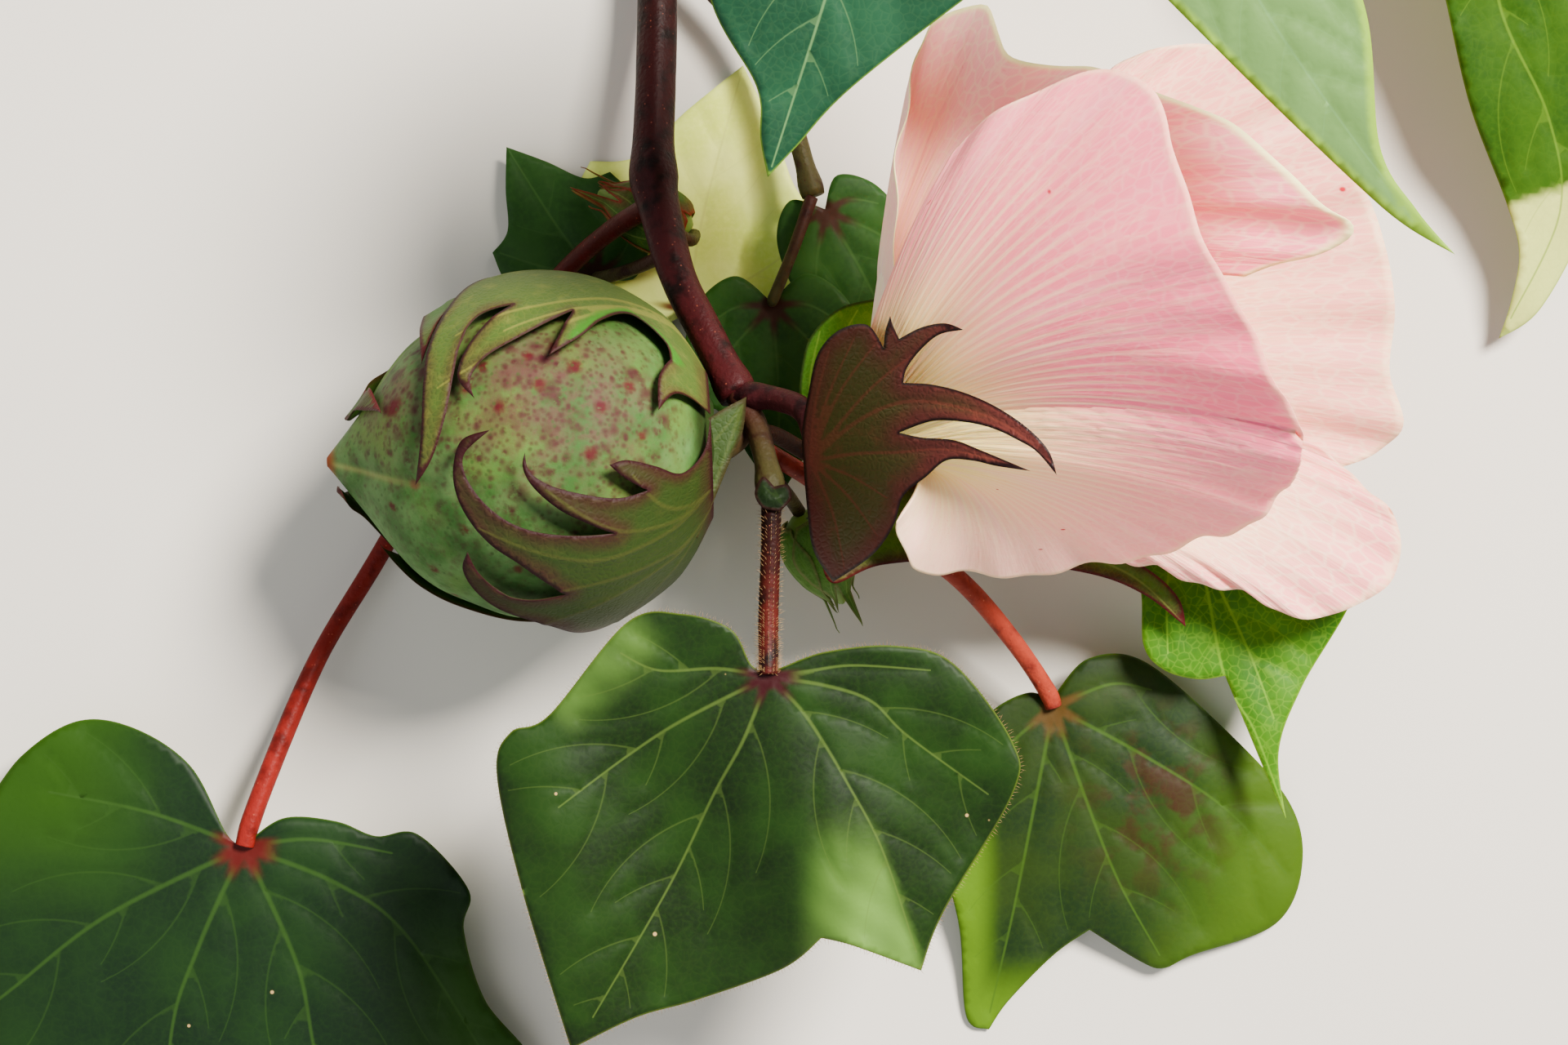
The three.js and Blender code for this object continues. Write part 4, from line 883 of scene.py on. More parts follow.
# The flower's three bracts.
# Leaf-like bracts stand round the calyx, each cut into long curved teeth. The one on top is dark
# brown purple with red veins, the one at the left bright green, and the one beneath green.
FRONT_BRACT = [
    [(2.4, 7), (2.2, 11), (3, 16), (4.2, 20.8), (6.8, 23.6), (10.2, 24.2)], [(12.2, 21.4), (12.4, 23.4)],
    [(13, 25.3), (13.4, 24)], [(14.1, 22.5), (16.8, 23.9), (19.7, 24.4)],
    [(22, 23.6), (19, 23), (16.6, 21), (15, 18.8)],
    [(14.6, 17.1), (18.1, 16.9), (22.1, 15.9), (26.1, 14.1), (29.8, 11.6), (32.4, 8.8)],
    [(33.4, 5.8), (31, 8.6), (28.8, 10), (25.6, 11.5), (22.1, 12.3), (18.1, 12.4)],
    [(14.1, 11), (17, 10.4), (20.8, 10.1), (24, 8.9)],
    [(30.2, 6.3), (26.1, 6.9), (22.9, 7.6), (19.9, 7.6), (17.4, 5.6), (14.6, 3.2), (13.4, -0.4),
     (10.8, -4)], [(6, -7.3), (3.6, -3.4), (2.8, 2)],
]
LEFT_BRACT = [
    [(2.9, 11.6), (1.9, 15), (2.2, 19.3), (3.4, 23), (6.9, 26.3)], [(12.5, 27.6), (17, 28.6)],
    [(21.5, 30), (18, 25.4), (13, 20.4), (7.4, 15.4)],
]
UNDER_BRACT = [
    [(6.4, 4.4), (4.6, -2), (5.8, -7.4), (12, -5.2), (24, -4.6), (37, -6.2), (44, -8.8)],
    [(49.2, -12.8), (48.4, -9.4), (45, -6), (38, -2), (26, 3), (14, 4.8)],
]


def front_bract_height(x, y):
    return 33 + 28.6 * (1 - (1 - (x - 2) / 32) ** 2) - 0.02 * np.minimum(y - 10, 0) ** 2


purple_bract = bract_finish("purple_bract", (58, 54, 22), (76, 32, 28), (24, 5, 6), (104, 46, 36),
                            (70, 96, 30), 3.8, roughness=0.5)
bright_bract = bract_finish("bright_bract", (76, 132, 14), (60, 110, 12), (40, 60, 10), (124, 164, 50),
                            (84, 140, 30), 3.2)
under_bract_green = bract_finish("under_bract_green", (70, 104, 24), (56, 42, 16), (64, 10, 12),
                                 (112, 126, 50), (84, 118, 38), 2.2)


def soft_veins(flat, edge, vein_mm):
    return -0.22 * np.exp(-((vein_mm / 0.45) ** 2)) + 0.2 * np.exp(-edge / 0.7)


FRONT_ROOT = (3.2, 7.5)
front_veins = [
    *fan_veins(FRONT_ROOT, [(12.6, 23.6), (20.6, 23.8)], 0.35, 0.12, 0.06),
    *fan_veins(FRONT_ROOT, [(8.6, 22.6), (5.6, 21.4)], 0.3, 0.12, 0.04),
    (smooth_line([FRONT_ROOT, (9, 12.4), (15, 14.8), (22, 14), (28, 11.4), (32.6, 7.4)], 14), 0.4, 0.14),
    (smooth_line([FRONT_ROOT, (8.5, 8.4), (14, 8.6), (20, 8.9), (28, 7.1)], 14), 0.35, 0.12),
    *fan_veins(FRONT_ROOT, [(12.6, 3), (11.4, -1.6), (7.4, -5.6)], 0.3, 0.12, 0.05),
]
left_veins = fan_veins((3.2, 12.4), [(4.4, 23.4), (9, 26), (18, 28.2)], 0.3, 0.12, 0.05)
under_veins = [(smooth_line([(5.4, 0.4), (16, -0.6), (30, -2), (42, -6.2), (48.6, -12)], 14), 0.35, 0.12)]
for name, stretches, height, veins, skin in (
    ("front", FRONT_BRACT, front_bract_height, front_veins, purple_bract),
    ("left", LEFT_BRACT, lambda x, y: 28.5 - 0.16 * x, left_veins, bright_bract),
    ("under", UNDER_BRACT, lambda x, y: 33.5 - 0.382 * x, under_veins, under_bract_green),
):
    blade(name + "_flower_bract", stretches, over(height), BRACT_THICKNESS, 0.55, veins, skin,
          "flower_bract", "flower_bract_" + name, soft_veins)


# The near leaf and its stalk.
# A broad heart-shaped leaf of three lobes that lies over the others, dark green and satin. Its veins
# fan out from a red junction on a thin dark hairy stalk, and its margin has fine pale hairs.
LEAF_THICKNESS = 0.4
VEIN_STEP = 0.5
FIRST_SIDE_VEIN = 6.0
SIDE_VEIN_ANGLE, SIDE_VEIN_BEND = math.radians(50), math.radians(2.6)
LEAST_SIDE_VEIN, SIDE_VEIN_REACH = 5, 20
BARE_TIP = 5
RIM_CLEARANCE, VEIN_CLEARANCE = 1.0, 1.7
NEAR_SPACING = 0.7
STALK_HAIRS = 700
HAIR_RADIUS = 0.034
STALK_HAIR_LENGTH, MARGIN_HAIR_LENGTH = 0.9, 0.8
NEAR_LEAF = [
    [(-1.9, -18.5), (-4, -17.4), (-6.5, -13.1), (-12.4, -11.2), (-19.2, -12.2), (-28.8, -23.6),
     (-33.5, -25.7), (-35.2, -30.7), (-32.2, -44.6)],
    [(-26.1, -64.5), (-18, -60.6), (-10.7, -58.5), (-0.2, -54.7)], [(4.6, -50.9), (8.6, -51.9)],
    [(16.8, -54.9), (19.6, -47.6), (28, -33.3), (28, -26.9), (20.8, -17.3), (13.7, -15.1), (5.2, -15.8),
     (-0.2, -17.7)],
]
NEAR_JUNCTION = (-1.9, -18.9)
NEAR_VEINS = [
    [(-8, -17.9), (-15.4, -18.1), (-20, -16)], [(-12.4, -24.2), (-19.2, -28.6), (-27.6, -34.9)],
    [(-4.9, -26.5), (-8.6, -33.3), (-14.1, -44.6), (-23.4, -60.6)],
    [(1.9, -22.7), (4.8, -26.9), (7.8, -32), (12, -40), (16.2, -52.6)],
    [(5.2, -20), (10.7, -21.9), (15.1, -26.1), (25, -33.3)], [(3, -18.2), (8.6, -17.5), (17.9, -18.1)],
]
NEAR_STALK = [(-1.5, 3.8, 29, 1.2), (-1.6, -3, 33, 1.1), (-1.9, -12, 38.6, 1.1), (-1.9, -16.4, 40.6, 1.1),
              (-1.9, -18.6, 41.0, 1.0)]


def side_veins(mains, rim, every):
    """Thin veins that leave each main vein by turns at both sides and arch towards its tip."""
    found = []
    for number, (line, width, _) in enumerate(mains):
        line = evenly(line, VEIN_STEP)
        for hand in (1, -1):
            first = FIRST_SIDE_VEIN + (every / 2 if hand < 0 else 0)
            for at in range(int(first / VEIN_STEP), len(line) - BARE_TIP, int(every / VEIN_STEP)):
                placed = [other for count, (other, _, _) in enumerate(mains + found) if count != number]
                starts, ends = (np.vstack([other[cut] for other in placed])
                                for cut in (slice(None, -1), slice(1, None)))
                ahead = line[at + 1] - line[at - 1]
                heading = math.atan2(ahead[1], ahead[0]) + hand * SIDE_VEIN_ANGLE
                path = [line[at]]
                while len(path) < SIDE_VEIN_REACH:
                    heading -= hand * SIDE_VEIN_BEND
                    step = path[-1] + np.array([[math.cos(heading), math.sin(heading)]])
                    if (not inside(step, rim)[0] or rim_distance(step, rim)[0] < RIM_CLEARANCE
                            or apart(step, starts, ends)[0].min() < VEIN_CLEARANCE):
                        break
                    path.append(step[0])
                if len(path) >= LEAST_SIDE_VEIN:
                    found.append((np.array(path), width * 0.5, width * 0.25))
    return found


def leaf_finish(name, deep, light, vein_tone, under_tone, bright, junction=(40, 2, 6), rim_tone=None,
                worn=(52, 32, 6), net=0.05, lit_rim=0.0):
    """Green blade with clouds of two greens, thin pale veins, a fine net and a dark red junction."""
    green, rim_tone = Finish(name, 0.55, deep, Specular_IOR_Level=0.14), rim_tone or vein_tone
    flat, edge, main, sunny = green.mark("flat", "Vector"), *map(green.mark, ("edge", "main", "sunny"))
    green.lay(light, (green.grain(flat, 0.09, 3.0), 0.36, 0.68))
    green.lay(light, (green.grain(flat, 1.6, 4.0), 0.4, 0.7), 0.35)
    # Painted sunlight where the sun falls on a leaf; on the right leaf the same mark lays the real pale
    # underside of its turned lobe.
    green.lay(bright, sunny)
    green.lay(worn, green.mark("worn"), (green.grain(green.spot(), 260, 4.0), 0.46, 0.62))
    cells = green.cells(flat, 0.9, feature="DISTANCE_TO_EDGE")
    green.lay(vein_tone, (cells, 0.12, 0.0), net)
    green.lay(vein_tone, (green.mark("vein"), 1.5, 0.1), 0.3)
    green.lay(vein_tone, (main, 1.5, 0.2), 0.5)
    green.lay(under_tone, green.mark("under"), 0.9)
    green.lay(rim_tone, (edge, 0.26, 0.04), 0.45)
    # A painted bright rim of sunlight along the edges of the sunlit part.
    green.lay(rim_tone, (edge, 1.5, 0.3), sunny, lit_rim)
    from_stalk = green.mark("stalk_mm")
    green.lay(junction, (from_stalk, 5.0, 2.0), (main, 3.6, 0.6))
    green.lay(junction, (from_stalk, 2.0, 1.0))
    green.lay((170, 140, 90), (green.cells(flat, 0.13), 0.04, 0.025))
    return green.coat(green.between(cells, 0.0, 0.5), 0.012)


def quilted(flat, edge, vein_mm):
    """The blade swells between its veins, sinks at them, and waves a little at its margin."""
    swell = 0.26 * (1 - np.exp(-vein_mm / 2.2)) - 0.1 * np.exp(-((vein_mm / 0.4) ** 2))
    wave = 0.5 * np.sin(flat[:, 0] * 0.33 + 1) * np.sin(flat[:, 1] * 0.29 + 2) * np.exp(-edge / 5)
    return swell - 0.15 + wave


def leaf(name, stretches, junction, mains, height, skin, slot, node, spacing=0.8, every=8.0, width=0.26,
         bend=None, **marks):
    """A leaf blade with its main veins, the side veins that grow from them, and its own folds. It has
    a height at the stalk, a slope towards the top of the picture and a droop with the distance."""
    (x0, y0), (top, slope, droop) = stretches[0][0], height
    lines = [(smooth_line([junction, *stops], 12), width, width * 0.4) for stops in mains]
    veins = lines + side_veins(lines, outline(stretches, spacing * RIM_SHARE), every)

    def leaf_height(x, y):
        return top + slope * (y - y0) - droop * ((x - x0) ** 2 + (y - y0) ** 2)

    def relief(flat, edge, vein_mm):
        return quilted(flat, edge, vein_mm) + (bend(flat) if bend else 0)

    return blade(name, stretches, over(leaf_height), LEAF_THICKNESS, spacing, veins, skin, slot, node,
                 relief, main=lambda flat: vein_distance(flat, lines)[1],
                 stalk_mm=lambda flat: np.linalg.norm(flat - junction, axis=1), **marks)


def near_folds(flat):
    """The lobes are cupped, and the blade dips along a line from the junction to its right notch."""
    x, y = flat.T
    return (1.4 * np.sin((x + 2) * 0.16) * rise(-y, 20, 45) + 0.9 * np.cos((x + 8) * 0.2 + y * 0.06)
            * rise(-y, 18, 34))


def near_sun(flat):
    """Light falls on the hollow between the middle and the right lobe, and grazes the left shoulder."""
    x, y = flat.T
    patchy = 0.8 + 0.2 * np.sin(x * 0.9 + y * 0.5) * np.sin(y * 0.7)
    hollow = rise(-y, 33, 48) * rise(x, 0.5, 9) * rise(13.2 - (y + 40) * 0.33 - x, 0, 2.5)
    past_rim = 0.735 * (y + 18) - 0.678 * (x + 22.5)
    along_rim = 0.735 * (x + 22.5) + 0.678 * (y + 18)
    shoulder = 0.5 * rise(past_rim, -5.5, 0) * rise(9.5 - np.abs(along_rim), 0, 4)
    return patchy * np.maximum(hollow, shoulder)


def hairs(name, roots, ways, longest, slot):
    """Fine hairs, each a thin cone of three sides on its root."""
    points, faces = [], []
    for root, way in zip(roots, unit(ways)):
        side = unit(np.cross(way, (0.3, 0.2, 1.0)))
        other, a = np.cross(way, side), len(points)
        points += [root + HAIR_RADIUS * (side * math.cos(turn) + other * math.sin(turn))
                   for turn in (0, 2.1, 4.2)]
        points.append(root + way * longest * rng.uniform(0.45, 1))
        faces += [(a, a + 1, a + 3), (a + 1, a + 2, a + 3), (a + 2, a, a + 3), (a + 2, a + 1, a)]
    return piece(name, points, faces, pale_down, slot)


def skin_of(made):
    """A piece's points in millimetres, with their outward ways."""
    points, outward = (np.array([getattr(vertex, key) for vertex in made.data.vertices])
                       for key in ("co", "normal"))
    return points * 1000 - shift, outward


satin_green = leaf_finish("satin_green", (8, 26, 1), (20, 46, 3), (68, 88, 32), (82, 116, 50), (88, 124, 48),
                          rim_tone=(92, 108, 34), net=0.03)
near_leaf = leaf("near_leaf", NEAR_LEAF, NEAR_JUNCTION, NEAR_VEINS, (41, 0.08, 0.0012), satin_green,
                 "dark_leaf", "leaf_near", NEAR_SPACING, 8.5, sunny=near_sun, bend=near_folds)
downy_stalk = bark_finish("downy_stalk", (28, 8, 7), (16, 5, 5), (70, 19, 14), (130, 70, 50))
near_stalk = limb("near_stalk", NEAR_STALK, downy_stalk, "dark_stalk", "stalk_near", 16)
down = Finish("pale_down", 0.7, (150, 140, 90), Specular_IOR_Level=0.2)
down.lay((150, 90, 66), down.grain(down.spot(), 900))
pale_down = down.coat()
places, outward = skin_of(near_stalk)
chosen = rng.sample(range(len(places)), STALK_HAIRS)
hairs("stalk_down", places[chosen], outward[chosen] + 0.25 * np.array([0, 1, 0]), STALK_HAIR_LENGTH,
      "dark_stalk")
margin = skin_of(near_leaf)[0][:len(outline(NEAR_LEAF, NEAR_SPACING * RIM_SHARE))]
along_rim = np.roll(margin, -1, axis=0) - np.roll(margin, 1, axis=0)
outward = np.cross(unit(along_rim), (0, 0, 1))
if outward[:, 0] @ (margin[:, 0] - margin[:, 0].mean()) < 0:
    outward = -outward
spread = np.array([[rng.uniform(-0.5, 0.5) for _ in range(3)] for _ in margin])
hairs("margin_down", margin, outward + spread, MARGIN_HAIR_LENGTH, "dark_leaf")


# The lower left leaf and its stalk.
# A large leaf on a long bright red stalk that comes from the stem's node. Its upper lobe is lit
# yellow green, and the rest is dark.
LOWER_LEFT_LEAF = [
    [(-66.1, -39.5), (-68.2, -38.2), (-72.6, -29.9), (-79.5, -25.2), (-86.5, -24.3), (-93.4, -28.6),
     (-99, -36), (-106, -42), (-112, -50), (-112, -60)], [(-108, -70), (-98, -70.5)],
    [(-91, -76), (-82, -82)], [(-76, -94), (-66, -84), (-56, -77), (-44, -74)],
    [(-30, -72), (-31, -65.5), (-36.6, -58.5), (-39.2, -49.9), (-38.6, -45), (-44.8, -38.2), (-50, -38.4),
     (-54.8, -36.6), (-61.3, -36.2)],
]
LOWER_LEFT_JUNCTION = (-66.1, -39.8)
LOWER_LEFT_VEINS = [
    [(-77.4, -35.6), (-90, -33)], [(-83, -48.2), (-95, -57.5), (-106, -66)],
    [(-71.7, -52), (-75.2, -64), (-76, -90)], [(-59.6, -54.2), (-57, -66), (-52, -73.6)],
    [(-54.8, -44.2), (-46.1, -50.7), (-35, -68)], [(-58, -38.8), (-48, -40.5)],
]
LOWER_LEFT_STALK = [
    (-16, 39, 15, 1.3), (-21.5, 35.5, 10.6, 1.2), (-28, 29.5, 6, 1.1), (-38, 16, 3, 1.1),
    (-50, -4.8, 3, 1.1), (-57, -16.5, 5, 1.1), (-63, -30.4, 8, 1.2), (-65.5, -37.2, 8.9, 1.2),
    (-66.1, -39.6, 9, 1.1),
]


def lower_left_sun(flat):
    x, y = flat.T
    return 0.85 * rise(-x, 72, 90) * rise(y, -52, -32) + 0.6 * rise(x, -50, -38) * rise(-y, 44, 58)


shade_green = leaf_finish("shade_green", (7, 27, 8), (15, 40, 8), (40, 68, 18), (70, 104, 44), (34, 66, 2),
                          rim_tone=(62, 92, 16), junction=(70, 10, 6))
red_stalk = bark_finish("red_stalk", (62, 16, 10), (76, 12, 9), (118, 24, 18), (140, 56, 40))
leaf("lower_left_leaf", LOWER_LEFT_LEAF, LOWER_LEFT_JUNCTION, LOWER_LEFT_VEINS, (9, 0, 0.0027), shade_green,
     "dark_leaf", "leaf_lower_left", 0.95, 10.0, sunny=lower_left_sun, width=0.34)
limb("lower_left_stalk", LOWER_LEFT_STALK, red_stalk, "red_stalk", "stalk_lower_left", 18)


# The lower right leaf and its stalk.
# It hangs low behind the near leaf on a red stalk. Its left strip turns up and shows bright green,
# its tip is pale, and brown blotches spread over the right half.
LOWER_RIGHT_LEAF = [
    [(33, -22.2), (33.8, -20.2), (37.4, -16.6), (43.7, -16.8), (52.4, -23.8), (61.5, -33.6), (63.5, -41.6),
     (60.3, -49.1), (50, -53), (46.5, -54.6), (43.7, -53.8)], [(37.4, -49.9), (33, -53), (27.5, -58.6)],
    [(25.1, -62.1), (22.3, -60.5), (21.5, -50), (19.5, -40), (20.5, -30), (25, -23.5), (30, -20.8)],
]
LOWER_RIGHT_JUNCTION = (33, -22.6)
LOWER_RIGHT_VEINS = [
    [(40, -19.8), (45, -20.5)], [(44, -28.5), (54, -35), (61.5, -43)], [(37, -34), (41, -44), (46, -53)],
    [(30.6, -35), (28, -48), (25.2, -60)], [(26, -29), (21.6, -38)],
]
LOWER_RIGHT_STALK = [
    (-2.6, 9, 27, 1.1), (3, 5.6, 24, 1.1), (10, 0.5, 20, 1.1), (20.7, -6.3, 15.5, 1.1),
    (27.9, -14.3, 10.8, 1.1), (32.6, -21.4, 6.6, 1.1), (33, -22.6, 6.4, 1.0),
]


def lower_right_sun(flat):
    x, y = flat.T
    strip = np.maximum(rise(-x, -27, -23) * rise(-y, 30, 40), rise(-y, 52, 60))
    return np.maximum(strip, 0.42 * rise(x - 0.3 * y, 54, 72))


def lower_right_worn(flat):
    x, y = flat.T
    return np.exp(-(((x - 46) / 8) ** 2 + ((y + 34) / 10) ** 2))


worn_green = leaf_finish("worn_green", (14, 34, 6), (30, 48, 4), (52, 80, 16), (80, 116, 50), (74, 108, 4),
                         rim_tone=(66, 92, 16), junction=(70, 50, 16), worn=(44, 24, 6))
leaf("lower_right_leaf", LOWER_RIGHT_LEAF, LOWER_RIGHT_JUNCTION, LOWER_RIGHT_VEINS, (6.4, 0, 0.0033),
     worn_green, "dark_leaf", "leaf_lower_right", every=9.0, sunny=lower_right_sun, worn=lower_right_worn)
rose_stalk = bark_finish("rose_stalk", (120, 36, 26), (96, 26, 20), (150, 52, 34), (170, 90, 66))
limb("lower_right_stalk", LOWER_RIGHT_STALK, rose_stalk, "red_stalk", "stalk_lower_right", 16)


# The leaf below the flower and its stalk.
# A bright yellow green leaf that comes out from under the petals and ends in a long drawn tip.
FLOWER_LEAF = [
    [(49, 0), (46, 4.4), (41.6, 3), (41, -3), (43.6, -8), (44, -15), (46.4, -18), (50.5, -19.2)],
    [(54, -18.8), (57, -26), (59.5, -32)],
    [(61.5, -36.4), (60.6, -28), (63.5, -20), (70, -8), (67, -1), (60, 3), (53, 3.6)],
]
FLOWER_LEAF_JUNCTION = (49, -0.4)
FLOWER_LEAF_VEINS = [
    [(51.5, -7), (54, -19), (57.6, -25.5), (61, -34.6)], [(53, -7.5), (57, -16), (60, -24)],
    [(47, -7), (47, -16)], [(56, -3), (65, -6)],
]
FLOWER_LEAF_STALK = [
    (-3.2, 11.2, 25.8, 1), (-0.8, 10.6, 20.5, 1), (4, 8, 16, 1), (18, 3.5, 12, 1), (34, 1, 10, 0.9),
    (44, 0.6, 10, 0.8), (48.4, 0.4, 10.4, 0.8), (49, -0.4, 11.8, 0.7),
]
fresh_green = leaf_finish("fresh_green", (36, 84, 1), (60, 108, 3), (104, 146, 20), (100, 146, 40),
                          (120, 176, 30), rim_tone=(124, 152, 34), junction=(80, 104, 20), net=0.3)
leaf("flower_leaf", FLOWER_LEAF, FLOWER_LEAF_JUNCTION, FLOWER_LEAF_VEINS, (12, 0.04, 0), fresh_green,
     "bright_leaf", "leaf_by_flower", 0.7, 6.0)
limb("flower_leaf_stalk", FLOWER_LEAF_STALK, green_shoot, "green_stalk", "stalk_by_flower", 14)


# The top leaf and its stalk.
# A large leaf high over the flower. Two of its lobes hang into view: the left one is dark blue
# green, and the right one faces the sun and is painted a paler grey green for that sunlight,
# with a painted bright rim of light along its curled edge.
TOP_LEAF = [
    [(18.6, 106.7), (12, 112), (1, 108), (-8, 96), (-11, 80), (-9, 64), (-3.4, 53.4), (-2.9, 47)],
    [(-2, 42.3), (1.5, 46), (8, 53), (22, 64), (31, 70)],
    [(36.6, 73), (42, 69), (47, 64), (58, 53), (70, 41.5), (76, 36.4)],
    [(82.2, 32.8), (77.4, 38.4), (73, 46), (71.4, 62), (66, 78), (64, 96), (54, 110), (38, 117), (25, 113)],
]
TOP_JUNCTION = (18.6, 106)
TOP_VEINS = [
    [(11, 84), (5, 64), (1.5, 53), (-1.5, 43.6)], [(34, 92), (50, 76), (62, 58), (72, 44), (80.6, 34)],
    [(2, 98), (-8, 84)], [(36, 108), (56, 104)], [(26, 90), (33, 76)],
]
TOP_STALK = [(26, 102, 14.4, 1.3), (25, 104, 40, 1.1), (22, 107, 66, 1.1), (19.2, 107.6, 79, 1.1),
             (18.6, 106.4, 80, 1.0)]
top_green = leaf_finish("top_green", (12, 50, 30), (22, 64, 40), (92, 130, 76), (120, 152, 90),
                        (88, 122, 62), rim_tone=(124, 160, 26), net=0.04, lit_rim=0.8)
# The right lobe's paler grey green is painted sunlight.
leaf("top_leaf", TOP_LEAF, TOP_JUNCTION, TOP_VEINS, (80, 0.19, 0), top_green, "pale_leaf", "leaf_top",
     0.95, 9.0, sunny=lambda flat: 0.95 * rise(flat[:, 0], 26, 36))
limb("top_stalk", TOP_STALK, green_shoot, "green_stalk", "stalk_top", 16)


# The right leaf.
# A bright green leaf at the end of the right branch. Its long lower lobe turns over near the end
# and shows the pale underside.
RIGHT_LEAF = [
    [(84, 96), (78, 101), (69, 96), (63, 86)], [(62, 74), (71, 73)],
    [(79.6, 70), (81, 64), (84, 51), (88.5, 39), (90, 33), (89, 27)],
    [(87.5, 22.5), (92.5, 26), (98, 36), (102, 48)], [(103.6, 58), (110, 60)],
    [(117, 59), (116, 74), (110, 90), (99, 100), (90, 101)],
]
RIGHT_JUNCTION = (84, 95.6)
RIGHT_VEINS = [
    [(87.5, 80), (87.5, 64), (93.6, 49.7), (95, 38), (89, 25)], [(96, 84), (106, 72), (113, 62)],
    [(76, 86), (67, 76)], [(96, 96), (106, 90)],
]


def right_pale(flat):
    x, y = flat.T
    return rise(38.5 + (x - 88) * 0.35 - y, -0.6, 0.6)


right_green = leaf_finish("right_green", (28, 62, 1), (46, 80, 1), (86, 120, 16), (112, 146, 56),
                          (186, 196, 104), rim_tone=(116, 150, 40), junction=(60, 60, 14))
leaf("right_leaf", RIGHT_LEAF, RIGHT_JUNCTION, RIGHT_VEINS, (24, 0.2, 0.001), right_green, "bright_leaf",
     "leaf_right", 0.9, 9.0, sunny=right_pale)


# The four leaves behind, and their stalks.
# Smaller leaves that lie low: a pale yellow green one behind the stem, and dark ones in the shade
# behind the boll and below the stem. Each is a plain three-pointed heart; three of them have a short stalk.
PLAIN_JUNCTION = (0.02, 0)
# A place on the plain leaf is how far along it lies, and how far across in shares of the width.
PLAIN_LEAF = [
    [(0, 0), (-0.14, 0.2), (0, 0.42), (0.26, 0.5)], [(0.5, 0.46), (0.56, 0.3), (0.78, 0.16)],
    [(1, 0), (0.78, -0.16), (0.56, -0.3)], [(0.5, -0.46), (0.26, -0.5), (0, -0.42), (-0.14, -0.2)],
]
PLAIN_VEINS = [
    [(0.4, 0.02), (0.97, 0)], [(0.22, 0.22), (0.47, 0.42)], [(0.02, 0.2), (0.12, 0.38)],
    [(0.22, -0.22), (0.47, -0.42)], [(0.02, -0.2), (0.12, -0.38)],
]
# The pale yellow green leaf is partly its own pale colour and partly painted sunlight: its greens are made
# paler for the sun on it.
pale_yellow_green = leaf_finish("pale_yellow_green", (220, 236, 96), (240, 250, 136), (214, 224, 110),
                                (150, 176, 90), (210, 226, 110), junction=(110, 60, 30))
back_green = leaf_finish("back_green", (26, 60, 14), (40, 78, 20), (54, 88, 34), (80, 116, 50), (84, 130, 40),
                         junction=(50, 26, 14))
BACK_LEAVES = {
    "back_pale": ((-12, 25.5), (-5, 56), 34, (1.5, -0.015, 0), pale_yellow_green, "pale_leaf", [
        (-11.2, 26.6, 19.4, 0.9), (-12.4, 26.2, 10, 0.8), (-12, 25.8, 2.6, 0.8), (-12, 25.5, 1.6, 0.7)]),
    "back_left": ((-23, 30), (-34, 46), 19, (2.5, 0, 0), back_green, "dark_leaf", [
        (-14, 33, 17, 0.9), (-18.6, 31, 9, 0.8), (-22.2, 30, 3.9, 0.8), (-23, 30, 2.5, 0.7)]),
    "back_small": ((5, 38.4), (15, 20), 16, (6.9, 0, 0), back_green, "dark_leaf", None),
    "back_heart": ((-1.5, 27), (-0.6, 3), 22, (9.4, 0, 0), back_green, "dark_leaf", [
        (3.4, 39.8, 8.6, 0.8), (1, 33, 9.9, 0.7), (-1.3, 27.4, 10.8, 0.7), (-1.5, 27, 9.6, 0.6)]),
}
for name, (start, tip, width, height, skin, slot, stalk) in BACK_LEAVES.items():
    ahead = np.subtract(tip, start)
    aside = np.array([-ahead[1], ahead[0]]) / np.linalg.norm(ahead) * width
    stretches, veins, (junction,) = (
        [[tuple(start + ahead * along + aside * across) for along, across in row] for row in rows]
        for rows in (PLAIN_LEAF, PLAIN_VEINS, [[PLAIN_JUNCTION]]))
    leaf(name + "_leaf", stretches, junction[0], veins, height, skin, slot, "leaf_" + name, 0.7, 7.0, 0.24)
    if stalk:
        limb(name + "_stalk", stalk, green_shoot, "green_stalk", "stalk_" + name, 12)


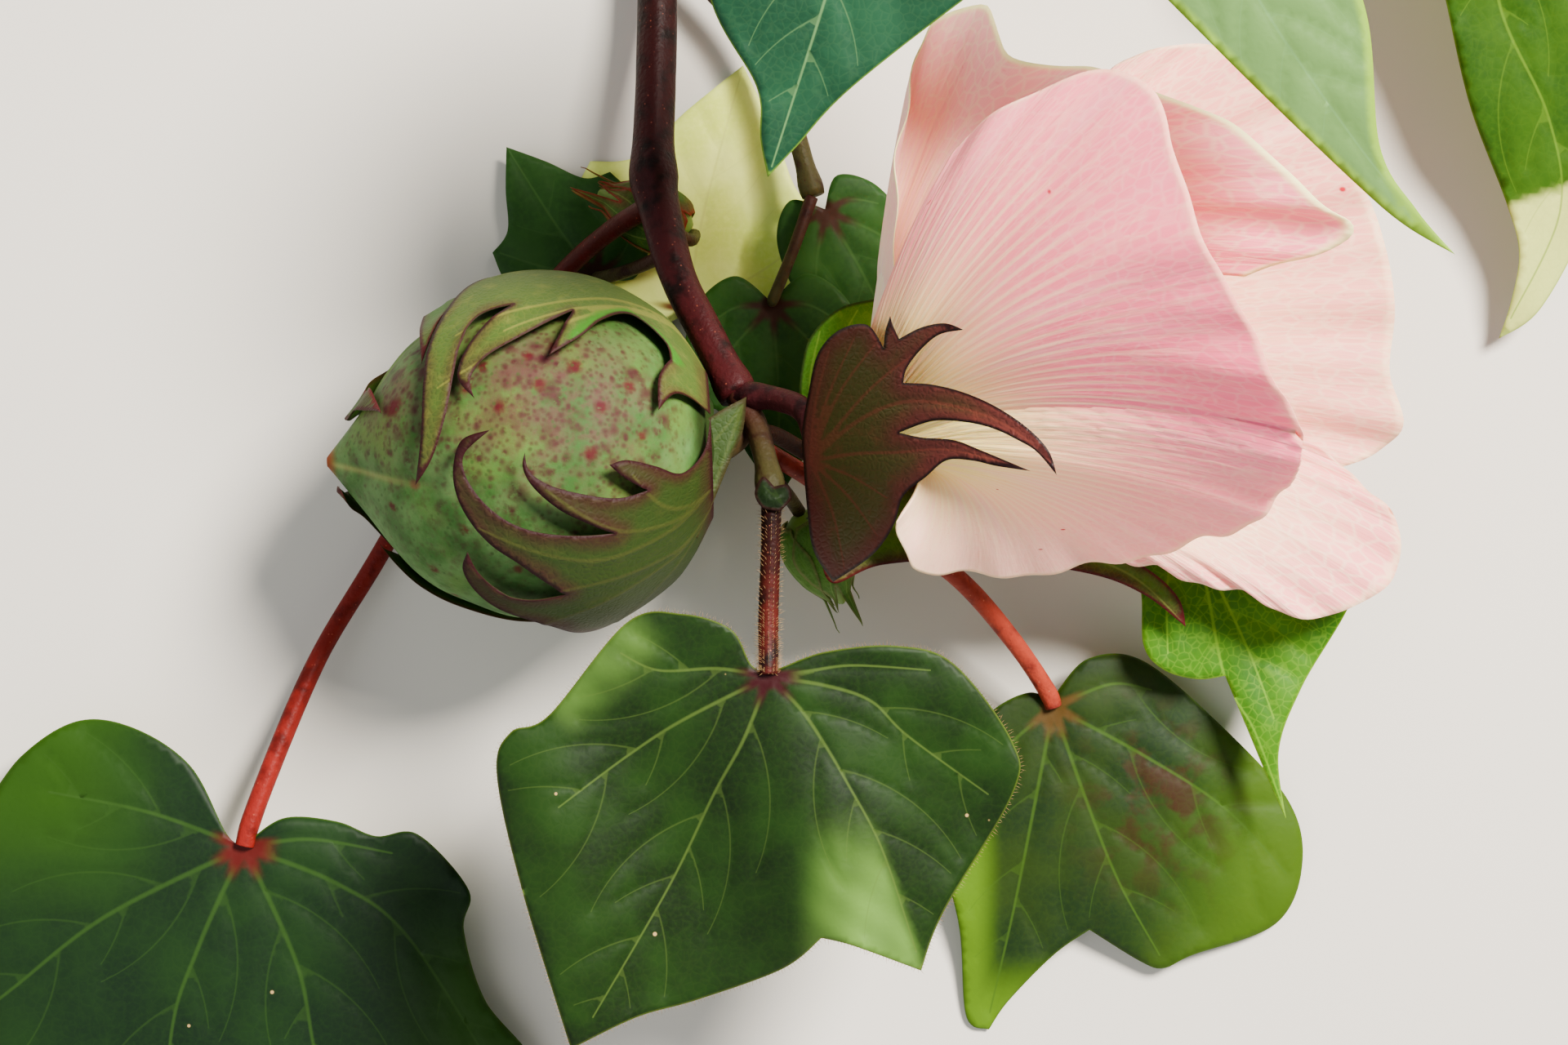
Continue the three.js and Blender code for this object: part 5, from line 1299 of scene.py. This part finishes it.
# The two buds and the stipule.
# Each bud is a soft green body in three toothed bracts, on its own short stalk. The teeth of the
# upper one are tipped red, the lower one is downy, and the stipule is a small round dark scale.
BUD_PROFILE = [(0, 1.2), (1.5, 2.8), (4.5, 3.5), (8, 2.7), (10.5, 1.2), (12, 0.4)]
BUDS = {
    "bud_upper": ((-11.6, 35.4, 7.3), (-24, 41, 7.3),
                  [(-14.4, 36, 15.8, 0.9), (-11.6, 34.6, 11.8, 0.8), (-11, 35.2, 7.4, 0.8)]),
    "bud_lower": ((2, 1, 15.4), (7, -9.4, 12.6),
                  [(-2, 6, 28.2, 0.9), (0, 4, 22, 0.8), (1.8, 1.4, 15.8, 0.8)]),
}
BUD_BRACT = [
    [(0.6, -3.6), (4, -5.2)], [(7.5, -4.8), (10, -3.8)], [(12.4, -3.9), (10.6, -2.6)],
    [(9, -1.8), (12.4, -0.9)], [(15.2, 0), (12.4, 0.9)], [(9, 1.8), (10.6, 2.6)],
    [(12.4, 3.9), (10, 3.8)], [(7.5, 4.8), (4, 5.2)], [(0.6, 3.6), (0.4, 0)],
]
BUD_GIRTH = 3.9
BUD_BRACT_LIFT = 0.45
STIPULE = [
    [(-1.2, 4.4), (-2.6, 5.6), (-3.6, 3.6), (-2.6, 1.8)], [(-0.4, 1.4), (0.9, 3), (0.4, 4.6)],
]
red_tipped_green = bract_finish("red_tipped_green", (50, 84, 20), (84, 60, 22), (116, 40, 20), (112, 134, 56),
                                (84, 118, 40), 2.0)
downy_green = bract_finish("downy_green", (72, 110, 32), (64, 98, 30), (96, 104, 50), (112, 140, 62),
                           (84, 118, 40), 1.6)
scale_green = bract_finish("scale_green", (14, 30, 6), (12, 24, 6), (34, 14, 10), (30, 48, 16), (24, 60, 12),
                           1.0)
for name, (foot, tip, stalk) in BUDS.items():
    bud_shape = Turned(BUD_PROFILE, seen(foot), seen(tip))
    turned_piece(name + "_body", bud_shape, 36, 40, calyx_skin, "calyx", [name],
                 lambda along, turn: 0.12 * np.cos(3 * turn) * rise(along, 0, 5))
    for number in range(3):
        middle = number * 2 * np.pi / 3 + 0.5

        def round_bud(flat, offset, middle=middle, shape=bud_shape):
            along, across = flat.T
            radius = np.maximum(shape.radius(np.minimum(along, 11)), 1.1) + BUD_BRACT_LIFT
            return shape.at(along, middle + across / BUD_GIRTH, radius + offset)

        blade(f"{name}_bract_{number + 1}", BUD_BRACT, round_bud, 0.3, 0.5,
              fan_veins((1, 0), [(12, -3.6), (14.4, 0), (12, 3.6)], 0.2, 0.1),
              red_tipped_green if name == "bud_upper" else downy_green, "calyx", name, curled_rim)
    limb(name + "_foot", stalk, green_shoot, "green_stalk", name + "_stalk", 12)


blade("side_stipule", STIPULE, over(lambda x, y: 31.35 + 0.3 * (4.6 - y)), BRACT_THICKNESS, 0.35,
      fan_veins((0, 2), [(-2.6, 4.6), (-1.2, 4.2)], 0.15, 0.1), scale_green,
      "dark_leaf", "stipule", lambda flat, edge, vein_mm: 0.9 * rise(edge, 0, 2.0))
